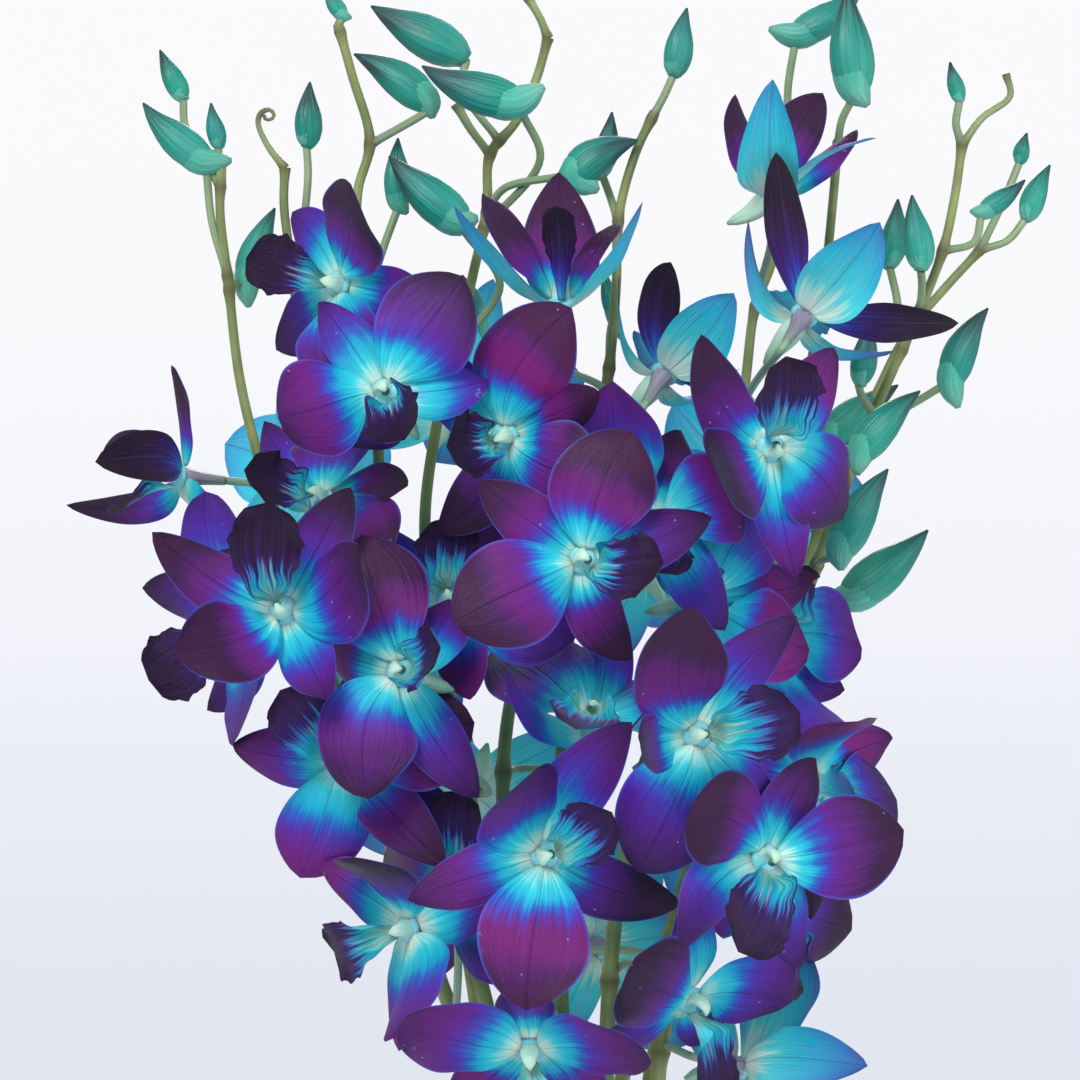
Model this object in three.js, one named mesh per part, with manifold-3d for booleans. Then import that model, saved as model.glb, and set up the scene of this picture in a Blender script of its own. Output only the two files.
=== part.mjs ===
// Cut dendrobium orchid sprays standing in a plain glass cylinder vase of water.
// Units are millimetres and +Z is up. The origin is the middle of the vase's flat underside.
import * as THREE from "three";
import Module from "manifold-3d";

const wasm = await Module();
wasm.setup();

// Driving dimensions of the vase and the water
const VASE_RADIUS = 50;
const VASE_HEIGHT = 200;
const VASE_WALL = 3.5;
const VASE_BASE = 10;
const VASE_SIDES = 32;
const VASE_FOOT_EDGE = 1.5;
const VASE_RIM_EDGE = 1.2;
const VASE_CORNER = 4;
const WATER_LEVEL = 125;
const FIT_GAP = 0.3;

// Driving dimensions of the sprays
const STEM_RADIUS_LOW = 2.3;
const STEM_RADIUS_TOP = 1.3;
const PEDICEL_RADIUS = 1.15;
const BLADE_HALF_THICKNESS = 0.6;
const HOLE_CLEARANCE = 0.9;

// The photograph's frame at the vase's axis: a point seen at a pixel is placed by its depth, in mm.
// Depth is the point's Y: negative is nearer the eye, which looks along +Y.
const PHOTO_SIDE = 1080;
const PIXELS_PER_MM = 3.5;
const VASE_AXIS_PIXEL = 565;
const PHOTO_BOTTOM_Z = 240;
const EYE_DISTANCE = 1000;
const EYE = new THREE.Vector3(
  (PHOTO_SIDE / 2 - VASE_AXIS_PIXEL) / PIXELS_PER_MM,
  -EYE_DISTANCE,
  PHOTO_BOTTOM_Z + PHOTO_SIDE / 2 / PIXELS_PER_MM,
);

// The six blades of a bloom, clockwise from the top sepal as the bloom is faced. A blade starts from its
// claw at the lift in front of the heart.
// turn, lean and twist are degrees, bow and cup are shares of the length and of the half width.
const BLADES = {
  sepal_top: { turn: 0, length: 38, width: 16, lean: -4, bow: 0.03, cup: -0.15, lift: -1, form: "sepal" },
  petal_right: { turn: 62, length: 39, width: 29, lean: 7, bow: 0.06, cup: -0.1, lift: 1, form: "petal" },
  sepal_right: { turn: 128, length: 37, width: 17, lean: -6, bow: 0.03, cup: -0.15, lift: -1, form: "sepal" },
  lip: { turn: 180, length: 30, width: 20, lean: 42, bow: 0.12, cup: 0.45, lift: 1.6, form: "lip" },
  sepal_left: { turn: 232, length: 37, width: 17, lean: -6, bow: 0.03, cup: -0.15, lift: -1, form: "sepal" },
  petal_left: { turn: 298, length: 39, width: 29, lean: 7, bow: 0.06, cup: -0.1, lift: 1, form: "petal" },
};

// Outlines of a blade: the half width along the length, from a narrow claw to the tip.
const OUTLINES = {
  sepal: { rise: 0.75, fall: 0.78, claw: 0.24, rows: [0, 0.24, 0.52, 0.8, 1] },
  petal: { rise: 1.0, fall: 0.72, claw: 0.12, rows: [0, 0.2, 0.44, 0.7, 0.91, 1] },
  lip: { rise: 1.15, fall: 0.42, claw: 0.2, rows: [0, 0.3, 0.58, 0.86, 1] },
};

// Each spray: its stem from the top down to the photograph's lower edge, as pixels, and its place in the
// vase's mouth. depth is the stem's depth at the top, and it eases to the mouth's.
const SPRAYS = {
  1: {
    depth: 2,
    mouth: [-28, -2],
    route: [
      [222, 165], [220, 210], [228, 280], [240, 380], [262, 470],
      [300, 590], [350, 730], [400, 870], [440, 980], [472, 1080],
    ],
  },
  2: {
    depth: 14,
    mouth: [-24, 20],
    route: [
      [285, 168], [284, 205], [291, 260], [302, 330], [325, 430],
      [350, 540], [385, 660], [425, 790], [462, 920], [484, 1080],
    ],
  },
  3: {
    depth: -18,
    mouth: [-18, -22],
    route: [
      [338, 24], [352, 75], [370, 142], [358, 190], [357, 240],
      [365, 300], [376, 420], [384, 530], [402, 660], [440, 830],
      [475, 960], [500, 1080],
    ],
  },
  4: {
    depth: -2,
    mouth: [-8, 6],
    route: [
      [548, 38], [536, 80], [516, 122], [490, 155], [487, 210],
      [474, 270], [458, 340], [434, 440], [425, 540], [450, 700],
      [492, 900], [528, 1080],
    ],
  },
  5: {
    depth: -28,
    mouth: [-2, -34],
    route: [
      [552, 215], [556, 330], [566, 440], [572, 560], [566, 680],
      [560, 800], [560, 930], [562, 1080],
    ],
  },
  6: {
    depth: -10,
    mouth: [-5, -15],
    route: [
      [655, 112], [636, 152], [619, 215], [616, 290], [606, 390],
      [585, 480], [548, 590], [513, 690], [503, 800], [520, 940],
      [546, 1080],
    ],
  },
  7: {
    depth: 8,
    mouth: [12, -24],
    route: [
      [788, 120], [788, 180], [772, 262], [755, 308], [744, 390],
      [724, 480], [697, 562], [665, 690], [643, 775], [624, 860],
      [612, 950], [606, 1080],
    ],
  },
  8: {
    depth: 6,
    mouth: [16, 8],
    route: [
      [838, 140], [833, 200], [822, 300], [800, 420], [770, 560],
      [735, 700], [700, 830], [662, 960], [622, 1080],
    ],
  },
  9: {
    depth: -6,
    mouth: [28, -4],
    route: [
      [962, 145], [955, 195], [943, 250], [922, 305], [892, 372],
      [858, 450], [815, 570], [765, 715], [712, 860], [682, 935],
      [658, 1080],
    ],
  },
  10: {
    depth: 20,
    mouth: [24, 24],
    route: [
      [980, 250], [945, 288], [908, 332], [878, 390], [838, 480],
      [792, 610], [748, 745], [706, 880], [674, 980], [650, 1080],
    ],
  },
};

// Side twigs, from the stem outwards: pixels, with the radius at the outer end.
const TWIGS = [
  { spray: 2, route: [[285, 170], [268, 146], [258, 122], [262, 112]], radius: 0.5 },
  { spray: 4, route: [[548, 40], [540, 18], [527, -4]], radius: 1.2 },
  { spray: 4, route: [[490, 156], [470, 128], [456, 104]], radius: 1.3 },
  { spray: 9, route: [[962, 146], [982, 118], [1010, 96], [1006, 74]], radius: 0.9 },
];

// Buds: the pointed tip, the base on its stalk, the chin beside the base, and the stalk down to the stem.
const BUDS = [
  { spray: 1, tip: [143, 103], base: [196, 174], chin: [238, 158],
    stalk: [[212, 222], [227, 275]] },
  { spray: 1, tip: [160, 50], base: [181, 102], chin: [190, 98],
    stalk: [[186, 128], [221, 190]], depth: 12 },
  { spray: 1, tip: [211, 103], base: [216, 150], chin: [226, 146],
    stalk: [[219, 165], [221, 185]] },
  { spray: 1, tip: [275, 208], base: [240, 282], chin: [250, 312],
    stalk: [[234, 284], [229, 290]], depth: 12 },
  { spray: 2, tip: [310, 82], base: [303, 150], chin: [318, 142],
    stalk: [[308, 178], [296, 290]], depth: 6 },
  { spray: 3, tip: [325, -12], base: [339, 18], chin: [354, 18],
    stalk: [[339, 24], [341, 34]] },
  { spray: 3, tip: [354, 54], base: [438, 98], chin: [432, 122],
    stalk: [[425, 113], [371, 142]] },
  { spray: 3, tip: [398, 138], base: [393, 208], chin: [410, 215],
    stalk: [[380, 258], [366, 306]], depth: 6 },
  { spray: 4, tip: [371, 6], base: [466, 64], chin: [468, 48],
    stalk: [[462, 88], [457, 106]], depth: 8 },
  { spray: 4, tip: [422, 66], base: [512, 122], chin: [550, 80],
    stalk: [[540, 160], [490, 232]], depth: -18 },
  { spray: 4, tip: [638, 140], base: [545, 170], chin: [608, 195],
    stalk: [[505, 188], [489, 216]], depth: -12 },
  { spray: 4, tip: [389, 156], base: [458, 236], chin: [482, 215],
    stalk: [[500, 285], [452, 352]], depth: -18 },
  { spray: 4, tip: [462, 275], base: [478, 306], chin: [490, 352],
    stalk: [[470, 325], [456, 348]], depth: 10 },
  { spray: 6, tip: [687, 8], base: [669, 77], chin: [684, 76],
    stalk: [[664, 96], [653, 116]] },
  { spray: 6, tip: [612, 112], base: [604, 172], chin: [596, 182],
    stalk: [[610, 196], [618, 225]], depth: 10 },
  { spray: 6, tip: [604, 268], base: [609, 310], chin: [624, 346],
    stalk: [[610, 335], [609, 370]], depth: 12 },
  { spray: 7, tip: [862, -12], base: [806, 50], chin: [762, 25],
    stalk: [[788, 88], [788, 125]], depth: 10 },
  { spray: 8, tip: [848, -14], base: [846, 96], chin: [872, 108],
    stalk: [[842, 120], [838, 145]], depth: -8 },
  { spray: 9, tip: [950, 62], base: [957, 103], chin: [966, 100],
    stalk: [[956, 124], [962, 148]] },
  { spray: 9, tip: [1025, 180], base: [986, 218], chin: [967, 210],
    stalk: [[974, 242], [944, 254]] },
  { spray: 9, tip: [912, 195], base: [918, 272], chin: [930, 268],
    stalk: [[922, 285], [920, 305]], depth: -10 },
  { spray: 9, tip: [898, 199], base: [892, 268], chin: [884, 270],
    stalk: [[897, 300], [899, 350]], depth: 10 },
  { spray: 9, tip: [872, 320], base: [856, 384], chin: [866, 388],
    stalk: [[862, 396], [874, 412]], depth: -12 },
  { spray: 10, tip: [1027, 133], base: [1017, 164], chin: [1024, 164],
    stalk: [[1004, 200], [982, 250]] },
  { spray: 10, tip: [1050, 165], base: [1021, 220], chin: [1034, 222],
    stalk: [[1008, 240], [980, 252]] },
  { spray: 10, tip: [988, 308], base: [937, 376], chin: [962, 414],
    stalk: [[905, 408], [862, 428]], depth: -6 },
  { spray: 9, tip: [920, 391], base: [850, 450], chin: [858, 480],
    stalk: [[842, 462], [846, 482]], depth: -16 },
  { spray: 10, tip: [898, 385], base: [822, 440], chin: [820, 452],
    stalk: [[822, 462], [838, 482]], depth: 2 },
  { spray: 9, tip: [888, 469], base: [830, 552], chin: [843, 574],
    stalk: [[822, 560], [818, 566]], depth: -16 },
  { spray: 10, tip: [928, 530], base: [852, 612], chin: [828, 590],
    stalk: [[836, 640], [784, 636]], depth: -6 },
];

// Blooms: heart is the pixel where the blades meet, faces is how far the bloom is turned to the right and up,
// in degrees, and tips are the pixels of the blades' ends. A blade with no tip stands at its usual angle
// from the top sepal, whose direction is its tip's or roll, in degrees clockwise. joins is the pixel on the
// stem, closed is how far a half-open bloom's blades stand up, in degrees, and widths are shares of the
// usual width, for blades that are narrower, folded or wider.
const BLOOMS = [
  { spray: 3, heart: [385, 392], depth: -62, faces: [0, 5], joins: [376, 430],
    tips: {
      sepal_top: [318, 302], petal_right: [463, 276], sepal_right: [488, 380],
      lip: [405, 440], sepal_left: [352, 446], petal_left: [278, 418],
    } },
  { spray: 5, heart: [505, 436], depth: -56, faces: [-20, -10], joins: [567, 470],
    tips: {
      sepal_top: [600, 392], petal_right: [604, 478], sepal_right: [437, 533],
      lip: [455, 428], sepal_left: [437, 335], petal_left: [572, 308],
    } },
  { spray: 5, heart: [582, 560], depth: -78, faces: [10, 5], joins: [571, 590],
    tips: {
      sepal_top: [478, 481], petal_right: [632, 431], sepal_right: [712, 517],
      lip: [664, 560], sepal_left: [654, 642], petal_left: [453, 622],
    } },
  { spray: 1, heart: [283, 610], depth: -60, faces: [-10, 10], joins: [318, 640],
    tips: {
      sepal_top: [326, 700], petal_right: [175, 650], sepal_right: [152, 532],
      lip: [268, 502], sepal_left: [351, 487], petal_left: [358, 550],
    } },
  { spray: 3, heart: [400, 672], depth: -69, faces: [0, 10], joins: [410, 700],
    tips: {
      sepal_top: [326, 652], petal_right: [362, 535], sepal_right: [455, 600],
      lip: [440, 645], sepal_left: [479, 798], petal_left: [424, 800],
    } },
  { spray: 1, heart: [345, 758], depth: -56, faces: [-15, 5], joins: [368, 780],
    tips: {
      sepal_top: [446, 866], petal_right: [300, 878], sepal_right: [232, 744],
      lip: [280, 690], sepal_left: [362, 662],
    } },
  { spray: 5, heart: [545, 855], depth: -84, faces: [10, 5], joins: [560, 900],
    tips: {
      sepal_top: [408, 900], petal_right: [560, 765], sepal_right: [632, 722],
      lip: [612, 812], sepal_left: [681, 904], petal_left: [526, 1010],
    } },
  { spray: 7, heart: [697, 735], depth: -68, faces: [15, 5], joins: [645, 770],
    tips: {
      sepal_top: [640, 744], petal_right: [695, 606], sepal_right: [797, 616],
      lip: [800, 712], sepal_left: [775, 822], petal_left: [637, 872],
    } },
  { spray: 8, heart: [765, 858], depth: -80, faces: [20, 0], joins: [700, 860],
    tips: {
      sepal_top: [816, 758], petal_right: [904, 830], sepal_right: [796, 969],
      lip: [738, 952], sepal_left: [712, 975], petal_left: [679, 848],
    } },
  { spray: 9, heart: [775, 905], depth: -34, faces: [55, -15], joins: [712, 900], roll: 60,
    tips: { sepal_right: [812, 950], petal_right: [852, 930], petal_left: [820, 850] } },
  { spray: 9, heart: [815, 785], depth: -38, faces: [40, 10], joins: [752, 800],
    tips: {
      sepal_top: [893, 738], petal_left: [857, 722], petal_right: [897, 800],
      lip: [868, 812],
    } },
  { spray: 8, heart: [770, 448], depth: -60, faces: [15, 0], joins: [790, 480],
    tips: {
      sepal_top: [796, 578], petal_right: [712, 462], sepal_right: [716, 326],
      lip: [786, 356], sepal_left: [834, 347], petal_left: [843, 520],
    } },
  { spray: 7, heart: [804, 316], depth: -38, faces: [150, 35], joins: [740, 410],
    widths: { sepal_top: 1.3, petal_left: 0.45, sepal_left: 0.55, petal_right: 0.4, sepal_right: 0.5 },
    tips: {
      sepal_top: [880, 222], petal_left: [959, 323], sepal_left: [901, 346],
      petal_right: [776, 152], sepal_right: [762, 204],
    } },
  { spray: 7, heart: [778, 190], depth: -20, faces: [10, 60], closed: 40, joins: [757, 306],
    widths: { sepal_top: 0.9, petal_right: 0.55, petal_left: 0.55, lip: 0.5 },
    tips: {
      sepal_top: [857, 129], petal_right: [876, 138], sepal_right: [773, 79],
      sepal_left: [779, 93], petal_left: [823, 93],
    } },
  { spray: 6, heart: [664, 374], depth: -40, faces: [150, 38], joins: [576, 510],
    widths: { sepal_top: 1.15, petal_left: 0.4, sepal_left: 0.6, petal_right: 0.5, sepal_right: 0.35 },
    tips: {
      sepal_top: [734, 293], petal_left: [722, 358], sepal_left: [740, 368],
      petal_right: [671, 262], sepal_right: [632, 262],
    } },
  { spray: 6, heart: [561, 302], depth: -48, faces: [0, 66], closed: 36, joins: [606, 392],
    widths: {
      sepal_top: 1.45, petal_right: 0.45, sepal_right: 0.7,
      lip: 0.5, sepal_left: 0.75, petal_left: 0.5,
    },
    tips: {
      sepal_top: [559, 172], petal_right: [601, 221], sepal_right: [643, 201],
      lip: [556, 206], sepal_left: [454, 206], petal_left: [482, 193],
    } },
  { spray: 2, heart: [338, 284], depth: -46, faces: [-35, 5], joins: [302, 345],
    tips: {
      petal_left: [351, 184], lip: [246, 258], sepal_right: [276, 350],
      petal_right: [352, 392], sepal_top: [430, 300], sepal_left: [292, 212],
    } },
  { spray: 1, heart: [180, 476], depth: -6, faces: [-65, 5], joins: [272, 500],
    widths: {
      sepal_top: 0.7, petal_right: 0.55, sepal_right: 0.5,
      lip: 0.6, sepal_left: 0.6, petal_left: 0.5,
    },
    tips: {
      sepal_top: [171, 365], petal_left: [102, 453], petal_right: [95, 462],
      lip: [112, 515], sepal_left: [66, 505],
    } },
  { spray: 1, heart: [322, 503], depth: -34, faces: [-30, 30], joins: [284, 548],
    tips: {
      sepal_left: [264, 421], petal_left: [347, 410], sepal_right: [163, 512],
      lip: [244, 470], sepal_top: [408, 486],
    } },
  { spray: 4, heart: [450, 600], depth: -40, faces: [-5, 20], joins: [432, 610],
    tips: {
      lip: [452, 516], sepal_right: [363, 521], petal_right: [372, 640],
      sepal_left: [512, 506], sepal_top: [470, 700],
    } },
  { spray: 6, heart: [652, 520], depth: -40, faces: [15, 15], joins: [578, 505], roll: 10,
    tips: { petal_right: [738, 490], sepal_top: [681, 430], petal_left: [613, 381] } },
  { spray: 7, heart: [706, 600], depth: -30, faces: [30, 15], joins: [690, 590],
    tips: {
      petal_left: [776, 500], sepal_top: [815, 578], petal_right: [812, 640],
      sepal_left: [690, 490],
    } },
  { spray: 6, heart: [592, 722], depth: -46, faces: [0, 50], joins: [508, 770],
    tips: { sepal_top: [613, 598], sepal_left: [505, 672], sepal_right: [660, 690] } },
  { spray: 1, heart: [408, 928], depth: -68, faces: [-40, -5], joins: [455, 1020],
    tips: {
      lip: [334, 952], sepal_left: [320, 864], petal_left: [338, 860],
      petal_right: [385, 1042],
    } },
  { spray: 4, heart: [462, 878], depth: -42, faces: [-15, 0], joins: [486, 880],
    tips: {
      lip: [464, 790], sepal_top: [428, 984], petal_left: [505, 985],
      petal_right: [382, 868], sepal_left: [540, 850],
    } },
  { spray: 5, heart: [530, 1050], depth: -74, faces: [0, -35], joins: [561, 1030],
    tips: {
      sepal_top: [526, 985], petal_left: [397, 1028], petal_right: [652, 1062],
      lip: [548, 1150], sepal_left: [450, 1130], sepal_right: [600, 1140],
    } },
  { spray: 7, heart: [690, 1000], depth: -56, faces: [45, -25], joins: [611, 985],
    tips: { petal_right: [785, 1020], sepal_top: [682, 900] } },
  { spray: 9, heart: [742, 1068], depth: -34, faces: [120, -15], joins: [666, 1050],
    tips: { sepal_top: [868, 1066] } },
  { spray: 8, heart: [600, 945], depth: 42, faces: [150, 0], joins: [662, 960], roll: 80, tips: {} },
  { spray: 10, heart: [770, 640], depth: -12, faces: [50, 5], joins: [774, 670],
    tips: { petal_left: [862, 648], petal_right: [868, 752], sepal_top: [845, 690] } },
  { spray: 2, heart: [240, 625], depth: -22, faces: [-45, -15], joins: [372, 625],
    tips: { sepal_left: [142, 588], petal_right: [232, 746], sepal_right: [166, 640] } },
  { spray: 2, heart: [322, 480], depth: 40, faces: [-165, 10], closed: 42, joins: [336, 490], roll: -10,
    tips: {} },
  { spray: 4, heart: [455, 400], depth: 40, faces: [175, 10], joins: [444, 400], roll: 20, tips: {} },
  { spray: 2, heart: [420, 620], depth: 50, faces: [-165, 5], joins: [380, 650], roll: 160, tips: {} },
  { spray: 8, heart: [640, 560], depth: 46, faces: [178, 0], joins: [768, 570], roll: -30, tips: {} },
  { spray: 10, heart: [745, 500], depth: 66, faces: [150, 5], joins: [820, 535], roll: 30, tips: {} },
  { spray: 4, heart: [470, 790], depth: 46, faces: [-160, 0], joins: [468, 780], roll: 190, tips: {} },
  { spray: 10, heart: [735, 800], depth: 62, faces: [150, -5], joins: [728, 810], roll: 150, tips: {} },
];

const RADIANS = Math.PI / 180;
const vector = (x, y, z) => new THREE.Vector3(x, y, z);

// A point seen at a pixel, at a depth.
function seen([px, py], depth) {
  const away = (depth - EYE.y) / EYE_DISTANCE;
  return vector(
    EYE.x + ((px - PHOTO_SIDE / 2) / PIXELS_PER_MM) * away,
    depth,
    EYE.z + ((PHOTO_SIDE / 2 - py) / PIXELS_PER_MM) * away,
  );
}

// A point moved along its own line of sight until its depth has changed by this much.
function slid(point, change) {
  return point.clone().sub(EYE).multiplyScalar(1 + change / (point.y - EYE.y)).add(EYE);
}

// A repeatable draw between -1 and 1.
let drawn = 7;
function draw() {
  drawn = (drawn * 1664525 + 1013904223) % 4294967296;
  return (drawn / 4294967296) * 2 - 1;
}

// Half the width of a blade as a share of its greatest, at u along it.
const CLAW_FADE = 3;
function outline(form, u) {
  const { rise, fall, claw } = OUTLINES[form];
  const peak = rise / (rise + fall);
  const greatest = peak ** rise * (1 - peak) ** fall;
  return (u ** rise * (1 - u) ** fall) / greatest + claw * (1 - u) ** CLAW_FADE;
}

// The frame of a bloom: which way it faces, its top and its right-hand side.
function bloomFrame(bloom) {
  const [right, up] = bloom.faces.map((angle) => angle * RADIANS);
  const heart = seen(bloom.heart, bloom.depth);
  const face = vector(Math.sin(right) * Math.cos(up), -Math.cos(right) * Math.cos(up), Math.sin(up));
  let roll = (bloom.roll ?? 0) * RADIANS;
  const aim = bloom.tips.sepal_top;
  if (aim) roll = Math.atan2(aim[0] - bloom.heart[0], bloom.heart[1] - aim[1]);
  if (!aim && bloom.roll === undefined) {
    const [name, [px, py]] = Object.entries(bloom.tips)[0];
    const mirrored = face.y > 0 ? -1 : 1;
    roll = Math.atan2(px - bloom.heart[0], bloom.heart[1] - py) - mirrored * BLADES[name].turn * RADIANS;
  }
  const top = vector(Math.sin(roll), 0, Math.cos(roll));
  top.addScaledVector(face, -top.dot(face)).normalize();
  return { heart, face, top, side: top.clone().cross(face) };
}

// The end of a blade: on its pixel's line of sight where it has one, at the depth that best keeps its
// length.
const SHORTEST = 0.86;
const LONGEST = 1.12;
function bladeTip(frame, blade, pixel, usual) {
  const natural = frame.heart.clone().addScaledVector(usual, blade.length);
  if (!pixel) return natural;
  const ray = seen(pixel, 0).sub(EYE).divideScalar(EYE_DISTANCE);
  const toHeart = frame.heart.clone().sub(EYE);
  const nearest = ray.dot(toHeart) / ray.lengthSq();
  const missSquared = toHeart.lengthSq() - nearest ** 2 * ray.lengthSq();
  const along = (reach) => Math.sqrt(Math.max(0, reach ** 2 - missSquared) / ray.lengthSq());
  const wanted = natural.y - EYE.y - nearest;
  const sign = wanted < 0 ? -1 : 1;
  const least = along(blade.length * SHORTEST);
  const most = along(blade.length * LONGEST);
  const offset = sign * Math.min(Math.max(Math.abs(wanted), least), most);
  return EYE.clone().addScaledVector(ray, nearest + offset);
}

// A tip turned back round the face, so that it strays only so far from the blade's usual angle.
const MOST_STRAY = 30;
function gathered(frame, across, tip) {
  const chord = tip.clone().sub(frame.heart);
  const forward = chord.dot(frame.face);
  const flat = chord.clone().addScaledVector(frame.face, -forward);
  const stray = Math.atan2(flat.clone().cross(across).dot(frame.face), flat.dot(across)) / RADIANS;
  const excess = stray - THREE.MathUtils.clamp(stray, -MOST_STRAY, MOST_STRAY);
  return tip.sub(frame.heart).applyAxisAngle(frame.face, excess * RADIANS).add(frame.heart);
}

// A blade of a bloom as a surface: at(u, v) is its middle sheet, u from claw to tip and v across, -1 to 1.
// Spreads are the most that a draw adds, in radians and as a share of the size.
const BLADE_ROOT = 3;
const BLADE_KNEE = 0.4;
const BEND_POWER = 1.4;
const MOST_LEAN = 80;
const TURN_SPREAD = 0.08;
const LEAN_SPREAD = 0.12;
const SIZE_SPREAD = 0.05;
const TWIST_SPREAD = 0.25;
const SHORT_BLADE_EXTRA = 0.15;
function bladeSurface(bloom, name) {
  const { frame } = bloom;
  const blade = BLADES[name];
  const pixel = bloom.tips[name];
  const stands = Math.min(blade.lean + (bloom.closed ?? 0), MOST_LEAN);
  const turn = blade.turn * RADIANS + (pixel ? 0 : TURN_SPREAD * draw());
  const lean = stands * RADIANS + (pixel ? 0 : LEAN_SPREAD * draw());
  const size = (bloom.widths?.[name] ?? 1) * (1 + SIZE_SPREAD * draw());
  const twist = TWIST_SPREAD * draw();
  const across = frame.top
    .clone()
    .multiplyScalar(Math.cos(turn))
    .addScaledVector(frame.side, Math.sin(turn));
  const usual = across.clone().multiplyScalar(Math.cos(lean)).addScaledVector(frame.face, Math.sin(lean));
  const tip = gathered(frame, across, bladeTip(frame, blade, pixel, usual));
  const root = frame.heart
    .clone()
    .addScaledVector(across, BLADE_ROOT)
    .addScaledVector(frame.face, blade.lift);
  const length = tip.distanceTo(root);
  const knee = root.clone().addScaledVector(usual, BLADE_KNEE * length);
  const usualFront = frame.face.clone().addScaledVector(usual, -frame.face.dot(usual)).normalize();
  const half = (blade.width / 2) * size * Math.min(1, length / blade.length + SHORT_BLADE_EXTRA);
  const shared = (next) => {
    const turns = Object.values(BLADES).map(({ turn: angle }) => angle);
    const place = Object.keys(BLADES).indexOf(name) + (next > 0 ? 0 : turns.length - 1);
    const [low, high] = [turns[place % turns.length], turns[(place + 1) % turns.length]];
    const middle = (low + (high > low ? high : high + 360)) / 2;
    return frame.heart
      .clone()
      .addScaledVector(frame.top, BLADE_ROOT * Math.cos(middle * RADIANS))
      .addScaledVector(frame.side, BLADE_ROOT * Math.sin(middle * RADIANS));
  };
  return {
    name,
    at(u, v) {
      if (u === 0 && v) return shared(v);
      const width = half * outline(blade.form, u);
      const turned = twist * u;
      const leg = knee.clone().lerp(tip, u);
      const middle = root.clone().lerp(knee, u).lerp(leg, u);
      const ahead = leg.sub(root.clone().lerp(knee, u)).normalize();
      const tilt = new THREE.Quaternion().setFromUnitVectors(usual, ahead);
      const front = usualFront.clone().applyQuaternion(tilt);
      const right = ahead.cross(front);
      return middle
        .addScaledVector(front, blade.bow * length * 4 * u * (1 - u) + blade.cup * width * v * v)
        .addScaledVector(right, Math.cos(turned) * width * v)
        .addScaledVector(front, Math.sin(turned) * width * v);
    },
  };
}

// Sheets: what the settling compares. Each has points with a half thickness, a share of its group's shift
// in depth (grip) and a share of its own bend, and the triangles between them.
// Blades side by side share the corner between their claws.
function bladeSheet(node, group, surface) {
  const rows = OUTLINES[BLADES[surface.name].form].rows;
  const points = [];
  const faces = [];
  rows.slice(0, -1).forEach((u, i) => {
    for (const v of [-1, 0, 1]) {
      const half = v ? 0 : BLADE_HALF_THICKNESS;
      points.push({ at: surface.at(u, v), half, grip: 1, bend: u ** BEND_POWER });
    }
    if (i) {
      const [a, b] = [3 * i - 3, 3 * i];
      faces.push([a, a + 1, b], [a + 1, b + 1, b], [a + 1, a + 2, b + 1], [a + 2, b + 2, b + 1]);
    }
  });
  const last = 3 * (rows.length - 2);
  points.push({ at: surface.at(1, 0), half: 0, grip: 1, bend: 1 });
  faces.push([last, last + 1, last + 3], [last + 1, last + 2, last + 3]);
  return { node, group, points, faces, surface };
}

// A flat band as wide as a round piece is thick, along its line.
const END_ON = 0.1;
function bandSheet(node, group, line, radii, grips, bends) {
  const points = [];
  const faces = [];
  line.forEach((point, i) => {
    const before = line[Math.max(0, i - 1)];
    const after = line[Math.min(line.length - 1, i + 1)];
    const ahead = after.clone().sub(before).normalize();
    const sight = point.clone().sub(EYE).normalize();
    const right = ahead.cross(sight);
    if (right.length() < END_ON) right.set(1, 0, 0);
    right.normalize();
    for (const v of [-1, 1]) {
      const at = point.clone().addScaledVector(right, v * radii[i]);
      points.push({ at, half: radii[i], grip: grips[i], bend: bends[i] });
    }
    if (i) faces.push([2 * i - 2, 2 * i - 1, 2 * i], [2 * i - 1, 2 * i + 1, 2 * i]);
  });
  return { node, group, points, faces };
}

// How a point looks from the eye: two coordinates across the view, in mm at the vase's axis, and its depth.
function viewOf(point) {
  const away = (point.y - EYE.y) / EYE_DISTANCE;
  return [(point.x - EYE.x) / away, (point.z - EYE.z) / away, point.y];
}

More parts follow.
